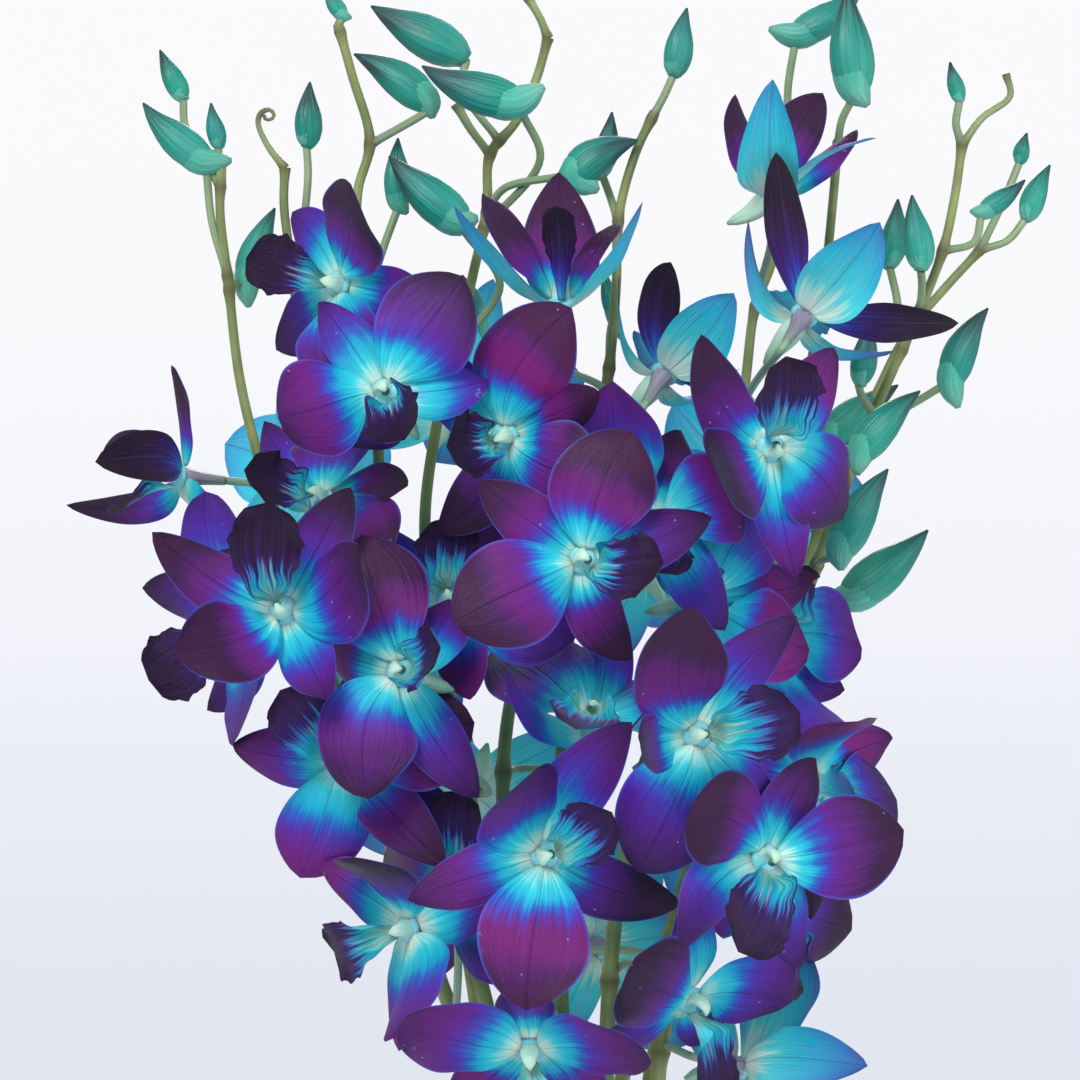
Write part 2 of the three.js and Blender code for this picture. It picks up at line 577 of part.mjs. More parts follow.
// The crossings of two sheets in the view: places where one lies over the other, each as a mix of corners.
// Faces and edges that are seen edge on, with less area than this in square mm, are passed over.
const LEAST_FACE = 0.05;
const LEAST_CROSS = 1e-6;
function crossings(first, second) {
  const found = [];
  const add = (mixA, mixB) => found.push([mixA, mixB]);
  const inside = (corner, sheet, swap) => {
    const [x, y] = corner.view;
    for (const face of sheet.faces) {
      const [a, b, c] = face.map((k) => sheet.points[k].view);
      const area = (b[0] - a[0]) * (c[1] - a[1]) - (c[0] - a[0]) * (b[1] - a[1]);
      if (Math.abs(area) < LEAST_FACE) continue;
      const s = ((x - a[0]) * (c[1] - a[1]) - (c[0] - a[0]) * (y - a[1])) / area;
      const t = ((b[0] - a[0]) * (y - a[1]) - (x - a[0]) * (b[1] - a[1])) / area;
      if (s < 0 || t < 0 || s + t > 1) continue;
      const shares = [1 - s - t, s, t];
      const mix = face.map((k, i) => [sheet.points[k], shares[i]]);
      if (swap) add(mix, [[corner, 1]]);
      else add([[corner, 1]], mix);
    }
  };
  first.points.forEach((corner) => inside(corner, second, false));
  second.points.forEach((corner) => inside(corner, first, true));
  for (const [p, q] of first.edges) {
    for (const [r, s] of second.edges) {
      const [a, b, c, d] = [p.view, q.view, r.view, s.view];
      const cross = (b[0] - a[0]) * (d[1] - c[1]) - (b[1] - a[1]) * (d[0] - c[0]);
      if (Math.abs(cross) < LEAST_CROSS) continue;
      const t = ((c[0] - a[0]) * (d[1] - c[1]) - (c[1] - a[1]) * (d[0] - c[0])) / cross;
      const w = ((c[0] - a[0]) * (b[1] - a[1]) - (c[1] - a[1]) * (b[0] - a[0])) / cross;
      if (t < 0 || t > 1 || w < 0 || w > 1) continue;
      add([[p, 1 - t], [q, t]], [[r, 1 - w], [s, w]]);
    }
  }
  return found;
}

function mixed(mix, key) {
  return mix.reduce((sum, [corner, share]) => sum + share * corner[key], 0);
}

// Settling: what lies over each other in the view is slid apart in depth, each bloom or bud as a whole by a
// little and each blade or stalk by bending, until every one is clear of the others. The stems stay.
const SETTLE_ROUNDS = 600;
const SETTLE_GAP = 0.9;
const SISTER_GAP = 0.5;
const SHIFT_EASE = 0.35;
const PUSH = 1.1;
const MOST_BEND = 20;
const LEAST_EASE = 0.02;
const LEAST_LACK = 1e-3;
const MOST_STEEP = 3;
function settle(sheets) {
  for (const sheet of sheets) {
    const used = new Map();
    sheet.points.forEach((corner) => {
      corner.view = viewOf(corner.at);
      corner.depth = corner.view[2];
    });
    for (const face of sheet.faces) {
      face.forEach((k, i) => {
        const other = face[(i + 1) % 3];
        const ends = [Math.min(k, other), Math.max(k, other)];
        used.set(ends.join(" "), [sheet.points[k], sheet.points[other]]);
      });
      const [a, b, c] = face.map((k) => sheet.points[k].view);
      const area = Math.abs((b[0] - a[0]) * (c[1] - a[1]) - (c[0] - a[0]) * (b[1] - a[1]));
      const full = vector(b[0] - a[0], b[1] - a[1], b[2] - a[2])
        .cross(vector(c[0] - a[0], c[1] - a[1], c[2] - a[2]))
        .length();
      const steep = Math.min(MOST_STEEP, full / Math.max(area, LEAST_FACE));
      face.forEach((k) => (sheet.points[k].steep = Math.max(sheet.points[k].steep ?? 1, steep)));
    }
    sheet.points.forEach((corner) => (corner.thick = corner.half * corner.steep));
    sheet.edges = [...used.values()];
    const [xs, ys] = [0, 1].map((axis) => sheet.points.map((corner) => corner.view[axis]));
    sheet.reach = [Math.min(...xs), Math.max(...xs), Math.min(...ys), Math.max(...ys)];
    sheet.bent = 0;
    sheet.group.shift = 0;
  }
  const meetings = [];
  const leads = new Map();
  sheets.forEach((first, i) => {
    for (const second of sheets.slice(i + 1)) {
      const together = first.group === second.group;
      if (first.node === second.node && !(together && first.surface && second.surface)) continue;
      if (together && !first.surface && !second.surface) continue;
      const [a, b] = [first.reach, second.reach];
      if (a[0] > b[1] || b[0] > a[1] || a[2] > b[3] || b[2] > a[3]) continue;
      const rows = crossings(first, second).map(([mixA, mixB]) => ({
        apart: mixed(mixB, "depth") - mixed(mixA, "depth"),
        need: mixed(mixA, "thick") + mixed(mixB, "thick") + (together ? SISTER_GAP : SETTLE_GAP),
        gripA: together ? 0 : mixed(mixA, "grip"),
        gripB: together ? 0 : mixed(mixB, "grip"),
        bendA: mixed(mixA, "bend"),
        bendB: mixed(mixB, "bend"),
      }));
      if (!rows.length) continue;
      const lead = rows.reduce((sum, row) => sum + row.apart, 0);
      const blooms = first.node.startsWith("bloom") && second.node.startsWith("bloom");
      const key = blooms && !together ? `${first.node} ${second.node}` : `meeting ${meetings.length}`;
      leads.set(key, (leads.get(key) ?? 0) + lead);
      meetings.push({ first, second, rows, key });
    }
  });
  for (const meeting of meetings) meeting.order = leads.get(meeting.key) < 0 ? -1 : 1;
  for (let round = 0; round < SETTLE_ROUNDS; round++) {
    const groups = new Map();
    const bends = new Map();
    const note = (map, key, value) => {
      const entry = map.get(key) ?? [0, 0];
      map.set(key, [entry[0] + value, entry[1] + 1]);
    };
    for (const { first, second, rows, order } of meetings) {
      let worst = null;
      let lack = LEAST_LACK;
      for (const row of rows) {
        const shift = row.gripB * second.group.shift - row.gripA * first.group.shift;
        const bend = row.bendB * second.bent - row.bendA * first.bent;
        const short = row.need - order * (row.apart + shift + bend);
        const grips = row.gripA ** 2 + row.gripB ** 2;
        const ease = SHIFT_EASE * grips + row.bendA ** 2 + row.bendB ** 2;
        if (short > lack && ease > LEAST_EASE) {
          lack = short;
          worst = { row, ease };
        }
      }
      if (!worst) continue;
      const step = (order * lack) / worst.ease;
      if (worst.row.gripA) note(groups, first.group, -SHIFT_EASE * worst.row.gripA * step);
      if (worst.row.gripB) note(groups, second.group, SHIFT_EASE * worst.row.gripB * step);
      if (worst.row.bendA) note(bends, first, -worst.row.bendA * step);
      if (worst.row.bendB) note(bends, second, worst.row.bendB * step);
    }
    if (!groups.size && !bends.size) break;
    for (const [group, [sum, count]] of groups) group.shift += (PUSH * sum) / count;
    for (const [sheet, [sum, count]] of bends) {
      sheet.bent = THREE.MathUtils.clamp(sheet.bent + (PUSH * sum) / count, -MOST_BEND, MOST_BEND);
    }
  }
}

// Solids, as corner positions and triangles. One that comes out inside out is turned round.
function solid(corners, faces) {
  let volume = 0;
  for (const [a, b, c] of faces) volume += corners[a].dot(corners[b].clone().cross(corners[c]));
  const wound = volume < 0 ? faces.map(([a, b, c]) => [a, c, b]) : faces;
  return new wasm.Manifold(
    new wasm.Mesh({
      numProp: 3,
      vertProperties: Float32Array.from(corners.flatMap((corner) => corner.toArray())),
      triVerts: Uint32Array.from(wound.flat()),
    }),
  );
}

// A bloom's blades, column and ovary as one closed skin. Each blade's two sides share their edges and tip
// and are split into triangles alike, and blades side by side share the corner between their claws.
function bloomSolid(bloom) {
  const { shift } = bloom.group;
  const count = bloom.sheets.length;
  const corners = [];
  const faces = [];
  const keep = (point) => corners.push(point) - 1;
  const between = bloom.sheets.map(({ points }) => keep(slid(points[2].at, shift)));
  const apex = keep(slid(bloom.column, shift));
  const ring = [];
  bloom.sheets.forEach((sheet, order) => {
    const settled = sheet.points.map(({ at, bend }) => slid(at, shift + bend * sheet.bent));
    const last = settled.length - 1;
    const front = settled.map((point, k) => (k % 3 === 1 || k === 0 || k === 2 ? -1 : keep(point)));
    front[0] = between[(order + count - 1) % count];
    front[2] = between[order];
    if (front[last] < 0) front[last] = keep(settled[last]);
    const behind = front.slice();
    for (let k = 1; k < last; k += 3) {
      const along = settled[Math.min(last, k + 3)].clone().sub(settled[Math.max(1, k - 3)]);
      const normal = settled[k + 1].clone().sub(settled[k - 1]).cross(along).normalize();
      front[k] = keep(settled[k].clone().addScaledVector(normal, BLADE_HALF_THICKNESS));
      behind[k] = keep(settled[k].clone().addScaledVector(normal, -BLADE_HALF_THICKNESS));
    }
    for (const [a, b, c] of sheet.faces) {
      faces.push([front[a], front[b], front[c]], [behind[a], behind[c], behind[b]]);
    }
    faces.push([front[1], front[0], apex], [front[2], front[1], apex]);
    ring.push(front[0], behind[1]);
  });
  const end = bloom.ovary.map((point) => keep(slid(point, shift)));
  const chin = keep(slid(bloom.chin.at(-1), shift));
  const lipFirst = 2 * Object.keys(BLADES).indexOf("lip");
  ring.forEach((corner, k) => {
    const next = ring[(k + 1) % ring.length];
    const own = Math.floor(k / 3);
    const following = Math.floor((k + 1) / 3) % end.length;
    const underLip = k === lipFirst || k === lipFirst + 1;
    faces.push([corner, next, underLip ? chin : end[own]]);
    if (following !== own) faces.push([next, end[following], end[own]]);
  });
  faces.push([ring[lipFirst + 2], end[2], chin], [end[2], ring[lipFirst], chin]);
  faces.push([end[0], end[1], end[2]], [end[0], end[2], end[3]]);
  return solid(corners, faces);
}

// A round piece along a line, with flat ends.
const UPRIGHT = 0.9;
function tube(line, radii, sides) {
  const corners = [];
  const faces = [];
  let right = null;
  line.forEach((point, i) => {
    const ahead = line[Math.min(line.length - 1, i + 1)].clone().sub(line[Math.max(0, i - 1)]).normalize();
    right ??= Math.abs(ahead.z) < UPRIGHT ? vector(0, 0, 1) : vector(1, 0, 0);
    right = right.clone().addScaledVector(ahead, -right.dot(ahead)).normalize();
    const up = ahead.clone().cross(right);
    for (let k = 0; k < sides; k++) {
      const angle = (2 * Math.PI * k) / sides;
      const out = right.clone().multiplyScalar(Math.cos(angle)).addScaledVector(up, Math.sin(angle));
      corners.push(point.clone().addScaledVector(out, radii[i]));
      if (!i) continue;
      const [a, b] = [(i - 1) * sides, i * sides];
      const next = (k + 1) % sides;
      faces.push([a + k, a + next, b + k], [a + next, b + next, b + k]);
    }
  });
  const end = (line.length - 1) * sides;
  for (let k = 1; k < sides - 1; k++) faces.push([0, k + 1, k], [end, end + k, end + k + 1]);
  return solid(corners, faces);
}

function fused(solids) {
  return solids.reduce((whole, piece) => whole.add(piece));
}

// A smooth line through points, taken at even steps.
function smooth(points, steps) {
  return new THREE.CatmullRomCurve3(points, false, "centripetal").getSpacedPoints(steps);
}

const group = new THREE.Group();
function addNode(name, whole, material) {
  const made = whole.getMesh();
  const geometry = new THREE.BufferGeometry();
  geometry.setAttribute("position", new THREE.BufferAttribute(Float32Array.from(made.vertProperties), 3));
  geometry.setIndex(new THREE.BufferAttribute(Uint32Array.from(made.triVerts), 1));
  geometry.computeVertexNormals();
  const mesh = new THREE.Mesh(geometry, material);
  mesh.name = name;
  group.add(mesh);
}

// A body turned round the vase's axis from a profile of radii and heights that starts and ends on the axis.
function turned(profile) {
  const corners = [];
  const faces = [];
  profile.forEach(([radius, z]) => {
    const count = radius === 0 ? 1 : VASE_SIDES;
    for (let k = 0; k < count; k++) {
      const angle = (2 * Math.PI * k) / VASE_SIDES;
      corners.push(vector(radius * Math.cos(angle), radius * Math.sin(angle), z));
    }
  });
  let start = 0;
  for (let i = 1; i < profile.length; i++) {
    const [low, high] = [profile[i - 1], profile[i]].map(([radius]) => (radius === 0 ? 1 : VASE_SIDES));
    const next = start + low;
    for (let k = 0; k < VASE_SIDES; k++) {
      const m = (k + 1) % VASE_SIDES;
      if (low > 1) faces.push([start + k, start + m, next + (high > 1 ? m : 0)]);
      if (high > 1) faces.push([start + (low > 1 ? k : 0), next + m, next + k]);
    }
    start = next;
  }
  return solid(corners, faces);
}

// Vase: a cylinder with a thick base, a rounded rim and a sloping corner inside.
const BORE = VASE_RADIUS - VASE_WALL;
const vase = turned([
  [0, 0],
  [VASE_RADIUS - VASE_FOOT_EDGE, 0],
  [VASE_RADIUS, VASE_FOOT_EDGE],
  [VASE_RADIUS, VASE_HEIGHT - VASE_RIM_EDGE],
  [VASE_RADIUS - VASE_WALL / 2, VASE_HEIGHT],
  [BORE, VASE_HEIGHT - VASE_RIM_EDGE],
  [BORE, VASE_BASE + VASE_CORNER],
  [BORE - VASE_CORNER, VASE_BASE],
  [0, VASE_BASE],
]);

// Where each stem runs: straight in the vase, then smoothly along its pixels.
const MOUTH_Z = VASE_HEIGHT - 6;
const STEM_STEPS = 12;
const FOOT_SPREAD = 0.93;
const DEPTH_EASES_FROM = 0.3;
function stemLine(spray) {
  const count = spray.route.length;
  const above = spray.route.map((pixel, i) => {
    const ease = THREE.MathUtils.smoothstep(i / (count - 1), DEPTH_EASES_FROM, 1);
    return seen(pixel, spray.depth + (spray.mouth[1] - spray.depth) * ease);
  });
  const mouth = vector(spray.mouth[0], spray.mouth[1], MOUTH_Z);
  const foot = vector(spray.mouth[0] * FOOT_SPREAD, spray.mouth[1] * FOOT_SPREAD, VASE_BASE + FIT_GAP);
  return { above, mouth, foot };
}

const stemGroup = { shift: 0 };
for (const [key, spray] of Object.entries(SPRAYS)) {
  spray.name = `spray_stem_${key.padStart(2, "0")}`;
  const { above, mouth, foot } = stemLine(spray);
  const upper = smooth([...above, mouth], STEM_STEPS);
  spray.line = [...upper, foot];
  spray.radii = spray.line.map((point) => {
    const height = THREE.MathUtils.smoothstep(point.z, VASE_HEIGHT, above[0].z);
    return STEM_RADIUS_LOW + (STEM_RADIUS_TOP - STEM_RADIUS_LOW) * height;
  });
  spray.straight = [mouth, foot];
  spray.pieces = [];
}

// The point of a stem that is nearest to a pixel's line of sight.
const STEM_PROBES = 20;
function onStem(spray, pixel) {
  const [x, y] = viewOf(seen(pixel, 0));
  let best = null;
  let least = Infinity;
  for (let i = 1; i < spray.line.length; i++) {
    for (let k = 0; k <= STEM_PROBES; k++) {
      const point = spray.line[i - 1].clone().lerp(spray.line[i], k / STEM_PROBES);
      const [a, b] = viewOf(point);
      const miss = (a - x) ** 2 + (b - y) ** 2;
      if (miss < least) [best, least] = [point, miss];
    }
  }
  return best;
}

const sheets = [];
const none = (line) => line.map(() => 0);
for (const spray of Object.values(SPRAYS)) {
  const line = spray.line.slice(0, -1);
  sheets.push(bandSheet(spray.name, stemGroup, line, spray.radii.slice(0, -1), none(line), none(line)));
}

// Blooms: blades round a heart, with the column in front, the ovary behind and the chin below it. The
// chin's line is given as reaches behind the heart and below it.
const COLUMN_REACH = 7.5;
const COLUMN_DROOP = 1.5;
const COLUMN_TIP_RADIUS = 0.5;
const OVARY_REACH = 13;
const STALK_GAP = 0.4;
const OVARY_RADIUS = 1.6;
const OVARY_TURNS = [15, 108, 193, 280];
const CHIN_LINE = [[3.5, 0], [6.5, 8], [9, 15]];
const CHIN_RADII = [1.8, 1.8, 0.6];
BLOOMS.forEach((bloom, i) => {
  bloom.name = `bloom_${String(i + 1).padStart(2, "0")}`;
  bloom.frame = bloomFrame(bloom);
  bloom.group = { shift: 0 };
  const { heart, face, top, side } = bloom.frame;
  bloom.sheets = Object.keys(BLADES).map((name) =>
    bladeSheet(bloom.name, bloom.group, bladeSurface(bloom, name)),
  );
  const behind = (back, down) => heart.clone().addScaledVector(face, -back).addScaledVector(top, -down);
  bloom.column = behind(-COLUMN_REACH, COLUMN_DROOP);
  bloom.ovary = OVARY_TURNS.map((turn) =>
    behind(OVARY_REACH, 0)
      .addScaledVector(top, OVARY_RADIUS * Math.cos(turn * RADIANS))
      .addScaledVector(side, OVARY_RADIUS * Math.sin(turn * RADIANS)),
  );
  bloom.chin = CHIN_LINE.map(([back, down]) => behind(back, down));
  const core = [behind(OVARY_REACH, 0), heart, bloom.column];
  const coreRadii = [OVARY_RADIUS, BLADE_ROOT, COLUMN_TIP_RADIUS];
  const gripped = (line) => line.map(() => 1);
  sheets.push(
    ...bloom.sheets,
    bandSheet(bloom.name, bloom.group, core, coreRadii, gripped(core), none(core)),
    bandSheet(bloom.name, bloom.group, bloom.chin, CHIN_RADII, gripped(bloom.chin), none(bloom.chin)),
  );
});

// Stalks of the blooms: each leaves its stem, swings round and meets the ovary end to end. A stalk bends
// most a third of the way along.
const STALK_STEPS = 3;
const STALK_OUT = 7;
const STALK_NECK = 2;
const STALK_LEAVES = 0.35;
const STALK_RISE = 4;
const bendShare = (share) => (27 / 4) * share * (1 - share) ** 2;
for (const bloom of BLOOMS) {
  const spray = SPRAYS[bloom.spray];
  const from = onStem(spray, bloom.joins);
  const { heart, face } = bloom.frame;
  const end = heart.clone().addScaledVector(face, -(OVARY_REACH + STALK_GAP));
  const neck = end.clone().addScaledVector(face, -STALK_NECK);
  const before = neck.clone().addScaledVector(face, -STALK_OUT);
  const rise = from.clone().lerp(before, STALK_LEAVES).add(vector(0, 0, STALK_RISE));
  const curve = new THREE.CubicBezierCurve3(from, rise, before, neck);
  bloom.stalk = [...curve.getPoints(STALK_STEPS), end];
  const shares = bloom.stalk.map((_, i) => Math.min(1, i / STALK_STEPS));
  const grips = shares.map((share) => 1 - (1 - share) ** 2);
  const bends = shares.map(bendShare);
  const radii = bloom.stalk.map(() => PEDICEL_RADIUS);
  bloom.stalkSheet = bandSheet(spray.name, bloom.group, bloom.stalk, radii, grips, bends);
  sheets.push(bloom.stalkSheet);
}

// Buds: a pointed body whose blunt end swells to one side in a chin, on a stalk of its own. The profile runs
// from the tip to the stalk: how far along from the base, how far aside to the chin, and the radius as a
// share of the bud's plumpness, which is a share of its length.
const BUD_PLUMP = 0.2;
const LEAST_PLUMP = 2.4;
const BUD_STALK_STEPS = 3;
const BUD_PROFILE = [
  { along: 1, aside: 0, radius: 0.12 },
  { along: 0.75, aside: 0, radius: 0.5 },
  { along: 0.42, aside: 0.12, radius: 0.95 },
  { along: 0.12, aside: 0.3, radius: 1 },
  { along: 0, aside: 0.25, radius: 0.55 },
];
for (const bud of BUDS) {
  const spray = SPRAYS[bud.spray];
  const depth = spray.depth + (bud.depth ?? 0);
  const [tip, base, chin] = [bud.tip, bud.base, bud.chin].map((pixel) => seen(pixel, depth));
  const axis = tip.clone().sub(base);
  const toChin = chin.clone().sub(base);
  const plump = Math.max(LEAST_PLUMP, axis.length() * BUD_PLUMP);
  bud.group = { shift: 0 };
  bud.body = BUD_PROFILE.map(({ along, aside }) =>
    base.clone().addScaledVector(axis, along).addScaledVector(toChin, aside),
  );
  bud.bodyRadii = BUD_PROFILE.map(({ radius }) => radius * plump);
  const from = onStem(spray, bud.stalk.at(-1));
  const middle = seen(bud.stalk[0], (depth + from.y) / 2);
  bud.stalkLine = smooth([bud.body.at(-1), middle, from], BUD_STALK_STEPS);
  bud.stalkGrips = bud.stalkLine.map((_, i) => 1 - i / BUD_STALK_STEPS);
  const thin = bud.stalkLine.map(() => PEDICEL_RADIUS);
  sheets.push(
    bandSheet(spray.name, bud.group, bud.body, bud.bodyRadii, bud.body.map(() => 1), none(bud.body)),
    bandSheet(spray.name, bud.group, bud.stalkLine, thin, bud.stalkGrips, none(bud.stalkLine)),
  );
}

const TWIG_ROOT_RADIUS = 1.15;
for (const twig of TWIGS) {
  const spray = SPRAYS[twig.spray];
  const from = onStem(spray, twig.route[0]);
  twig.line = [from, ...twig.route.slice(1).map((pixel) => seen(pixel, spray.depth))];
  twig.radii = twig.line.map((_, i) => (i ? twig.radius : TWIG_ROOT_RADIUS));
  sheets.push(bandSheet(spray.name, stemGroup, twig.line, twig.radii, none(twig.line), none(twig.line)));
}

settle(sheets);

// Stems with their twigs, buds and stalks fused on, one node for each spray.
const STEM_SIDES = 5;
const TWIG_SIDES = 4;
const BUD_SIDES = 5;
for (const spray of Object.values(SPRAYS)) spray.pieces.push(tube(spray.line, spray.radii, STEM_SIDES));
for (const twig of TWIGS) {
  const spray = SPRAYS[twig.spray];
  spray.pieces.push(tube(twig.line, twig.radii, TWIG_SIDES));
}
for (const bud of BUDS) {
  const { pieces } = SPRAYS[bud.spray];
  const body = bud.body.map((point) => slid(point, bud.group.shift));
  const stalk = bud.stalkLine.map((point, i) => slid(point, bud.stalkGrips[i] * bud.group.shift)).slice(1);
  const radii = [...bud.bodyRadii, ...stalk.map(() => PEDICEL_RADIUS)];
  pieces.push(tube([...body, ...stalk], radii, BUD_SIDES));
}
for (const bloom of BLOOMS) {
  const { shift } = bloom.group;
  const { bent, points } = bloom.stalkSheet;
  const line = bloom.stalk.map((point, i) => {
    const { grip, bend } = points[2 * i];
    return slid(point, grip * shift + bend * bent);
  });
  SPRAYS[bloom.spray].pieces.push(tube(line, line.map(() => PEDICEL_RADIUS), TWIG_SIDES));
}

function finish(color, roughness, opacity = 1) {
  const transparent = opacity < 1;
  return new THREE.MeshStandardMaterial({ color, roughness, metalness: 0, transparent, opacity });
}
const glass = finish("#dfe9ea", 0.05, 0.35);
const waterFinish = finish("#cfe3e6", 0.02, 0.4);
const stemFinish = finish("#7d8f4e", 0.5);
const bloomFinish = finish("#3f2c8c", 0.6);

// Water: a plug with a small gap to the glass, and a plain hole for each stem, which starts a little below
// the water.
const HOLE_SIDES = 6;
const HOLE_OVERRUN = 0.02;
let water = turned([
  [0, VASE_BASE + FIT_GAP],
  [BORE - VASE_CORNER - FIT_GAP, VASE_BASE + FIT_GAP],
  [BORE - FIT_GAP, VASE_BASE + VASE_CORNER + FIT_GAP],
  [BORE - FIT_GAP, WATER_LEVEL],
  [0, WATER_LEVEL],
]);
for (const spray of Object.values(SPRAYS)) {
  const [mouth, foot] = spray.straight;
  const down = foot.clone().sub(mouth);
  const low = foot.clone().addScaledVector(down, HOLE_OVERRUN);
  const wide = STEM_RADIUS_LOW + HOLE_CLEARANCE;
  water = water.subtract(tube([mouth, low], [wide, wide], HOLE_SIDES));
}

addNode("vase", vase, glass);
addNode("water", water, waterFinish);
for (const spray of Object.values(SPRAYS)) addNode(spray.name, fused(spray.pieces), stemFinish);
for (const bloom of BLOOMS) addNode(bloom.name, bloomSolid(bloom), bloomFinish);

export default group;
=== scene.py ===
# %% [markdown]
# # Dendrobium orchid sprays in a glass vase
# Ten cut sprays of a dyed dendrobium stand in a plain glass cylinder. The petals run from a nearly white
# throat through cyan and blue to violet and a dark maroon end, and the buds above them are still teal.
# The solids of the same object are loaded first as a fixed frame, and every piece made here is put where
# its solid stands. Lengths below are in millimetres, and are turned to metres when a mesh is made.
# %% Loading the fixed frame
import math

import bpy
import numpy as np
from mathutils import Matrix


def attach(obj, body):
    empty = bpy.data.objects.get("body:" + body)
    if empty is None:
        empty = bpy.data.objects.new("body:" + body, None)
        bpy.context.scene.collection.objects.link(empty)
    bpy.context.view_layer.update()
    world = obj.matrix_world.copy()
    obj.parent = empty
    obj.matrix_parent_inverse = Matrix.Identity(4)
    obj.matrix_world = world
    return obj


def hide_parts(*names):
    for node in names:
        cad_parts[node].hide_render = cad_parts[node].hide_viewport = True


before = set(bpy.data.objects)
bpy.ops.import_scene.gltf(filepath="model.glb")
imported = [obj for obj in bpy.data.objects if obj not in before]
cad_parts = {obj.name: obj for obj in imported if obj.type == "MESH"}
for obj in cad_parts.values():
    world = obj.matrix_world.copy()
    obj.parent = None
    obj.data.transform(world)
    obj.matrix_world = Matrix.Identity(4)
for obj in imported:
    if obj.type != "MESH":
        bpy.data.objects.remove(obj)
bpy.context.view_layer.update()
MM = 0.001

# %% [markdown]
# ## The eye and the photograph's frame
# The photograph is square, taken level with the flowers from about a metre. A point is named by the pixel
# where it is seen and by its depth, which is its Y: negative is nearer the eye. The camera stands at that
# same eye, so that a pixel of the photograph is the same pixel of the picture.
# %% The eye, and a point seen at a pixel
PHOTO_SIDE = 1080
PIXELS_PER_MM = 3.5
VASE_AXIS_PIXEL = 565
PHOTO_BOTTOM_Z = 240
EYE_DISTANCE = 1000
EYE = np.array([
    (PHOTO_SIDE / 2 - VASE_AXIS_PIXEL) / PIXELS_PER_MM,
    -EYE_DISTANCE,
    PHOTO_BOTTOM_Z + PHOTO_SIDE / 2 / PIXELS_PER_MM,
])


def seen(pixel, depth):
    away = (depth - EYE[1]) / EYE_DISTANCE
    across = (pixel[0] - PHOTO_SIDE / 2) / PIXELS_PER_MM
    up = (PHOTO_SIDE / 2 - pixel[1]) / PIXELS_PER_MM
    return np.array([EYE[0] + across * away, depth, EYE[2] + up * away])


def view_of(points):
    points = np.atleast_2d(points)
    away = (points[:, 1] - EYE[1]) / EYE_DISTANCE
    return np.column_stack([(points[:, 0] - EYE[0]) / away, (points[:, 2] - EYE[2]) / away])


def slid(points, change):
    share = 1 + np.asarray(change) / (points[..., 1] - EYE[1])
    return EYE + (points - EYE) * share[..., None]


print("a pixel in the middle of the vase's axis stands at", seen((VASE_AXIS_PIXEL, PHOTO_SIDE), 0))

# %% The camera at the eye
SENSOR = 36
camera_data = bpy.data.cameras.new("camera")
camera_data.sensor_width = SENSOR
camera_data.lens = SENSOR * EYE_DISTANCE / (PHOTO_SIDE / PIXELS_PER_MM)
camera_data.clip_end = 20


def placed(name, data):
    made = bpy.data.objects.new(name, data)
    bpy.context.scene.collection.objects.link(made)
    return made


camera = placed("camera", camera_data)
camera.location = EYE * MM
camera.rotation_euler = (math.pi / 2, 0, 0)
bpy.context.scene.camera = camera
print("lens:", round(camera_data.lens, 1), "mm")

# %% [markdown]
# ## What the photograph shows
# Each stem is a row of pixels from its top down to the photograph's lower edge, and then its place in the
# vase's mouth. A bud has a pointed tip, a base on its stalk and a blunt chin beside the base, then a point
# of its stalk, the point where that joins the stem, and a depth counted from the stem's. A bloom has a heart
# where its six blades meet, its depth, the way that it faces in degrees to the right and up, the point where
# it joins its stem, and the pixels of the blades' ends that can be seen. A half-open one is closed by some
# degrees, and blades that are folded, narrow or wide have a share of the usual width.
# %% Stems, twigs and buds, by their pixels
def bud_seen(spray, tip, base, chin, stalk, joins, depth=0):
    return dict(spray=spray, tip=tip, base=base, chin=chin, stalk=stalk, joins=joins, depth=depth)


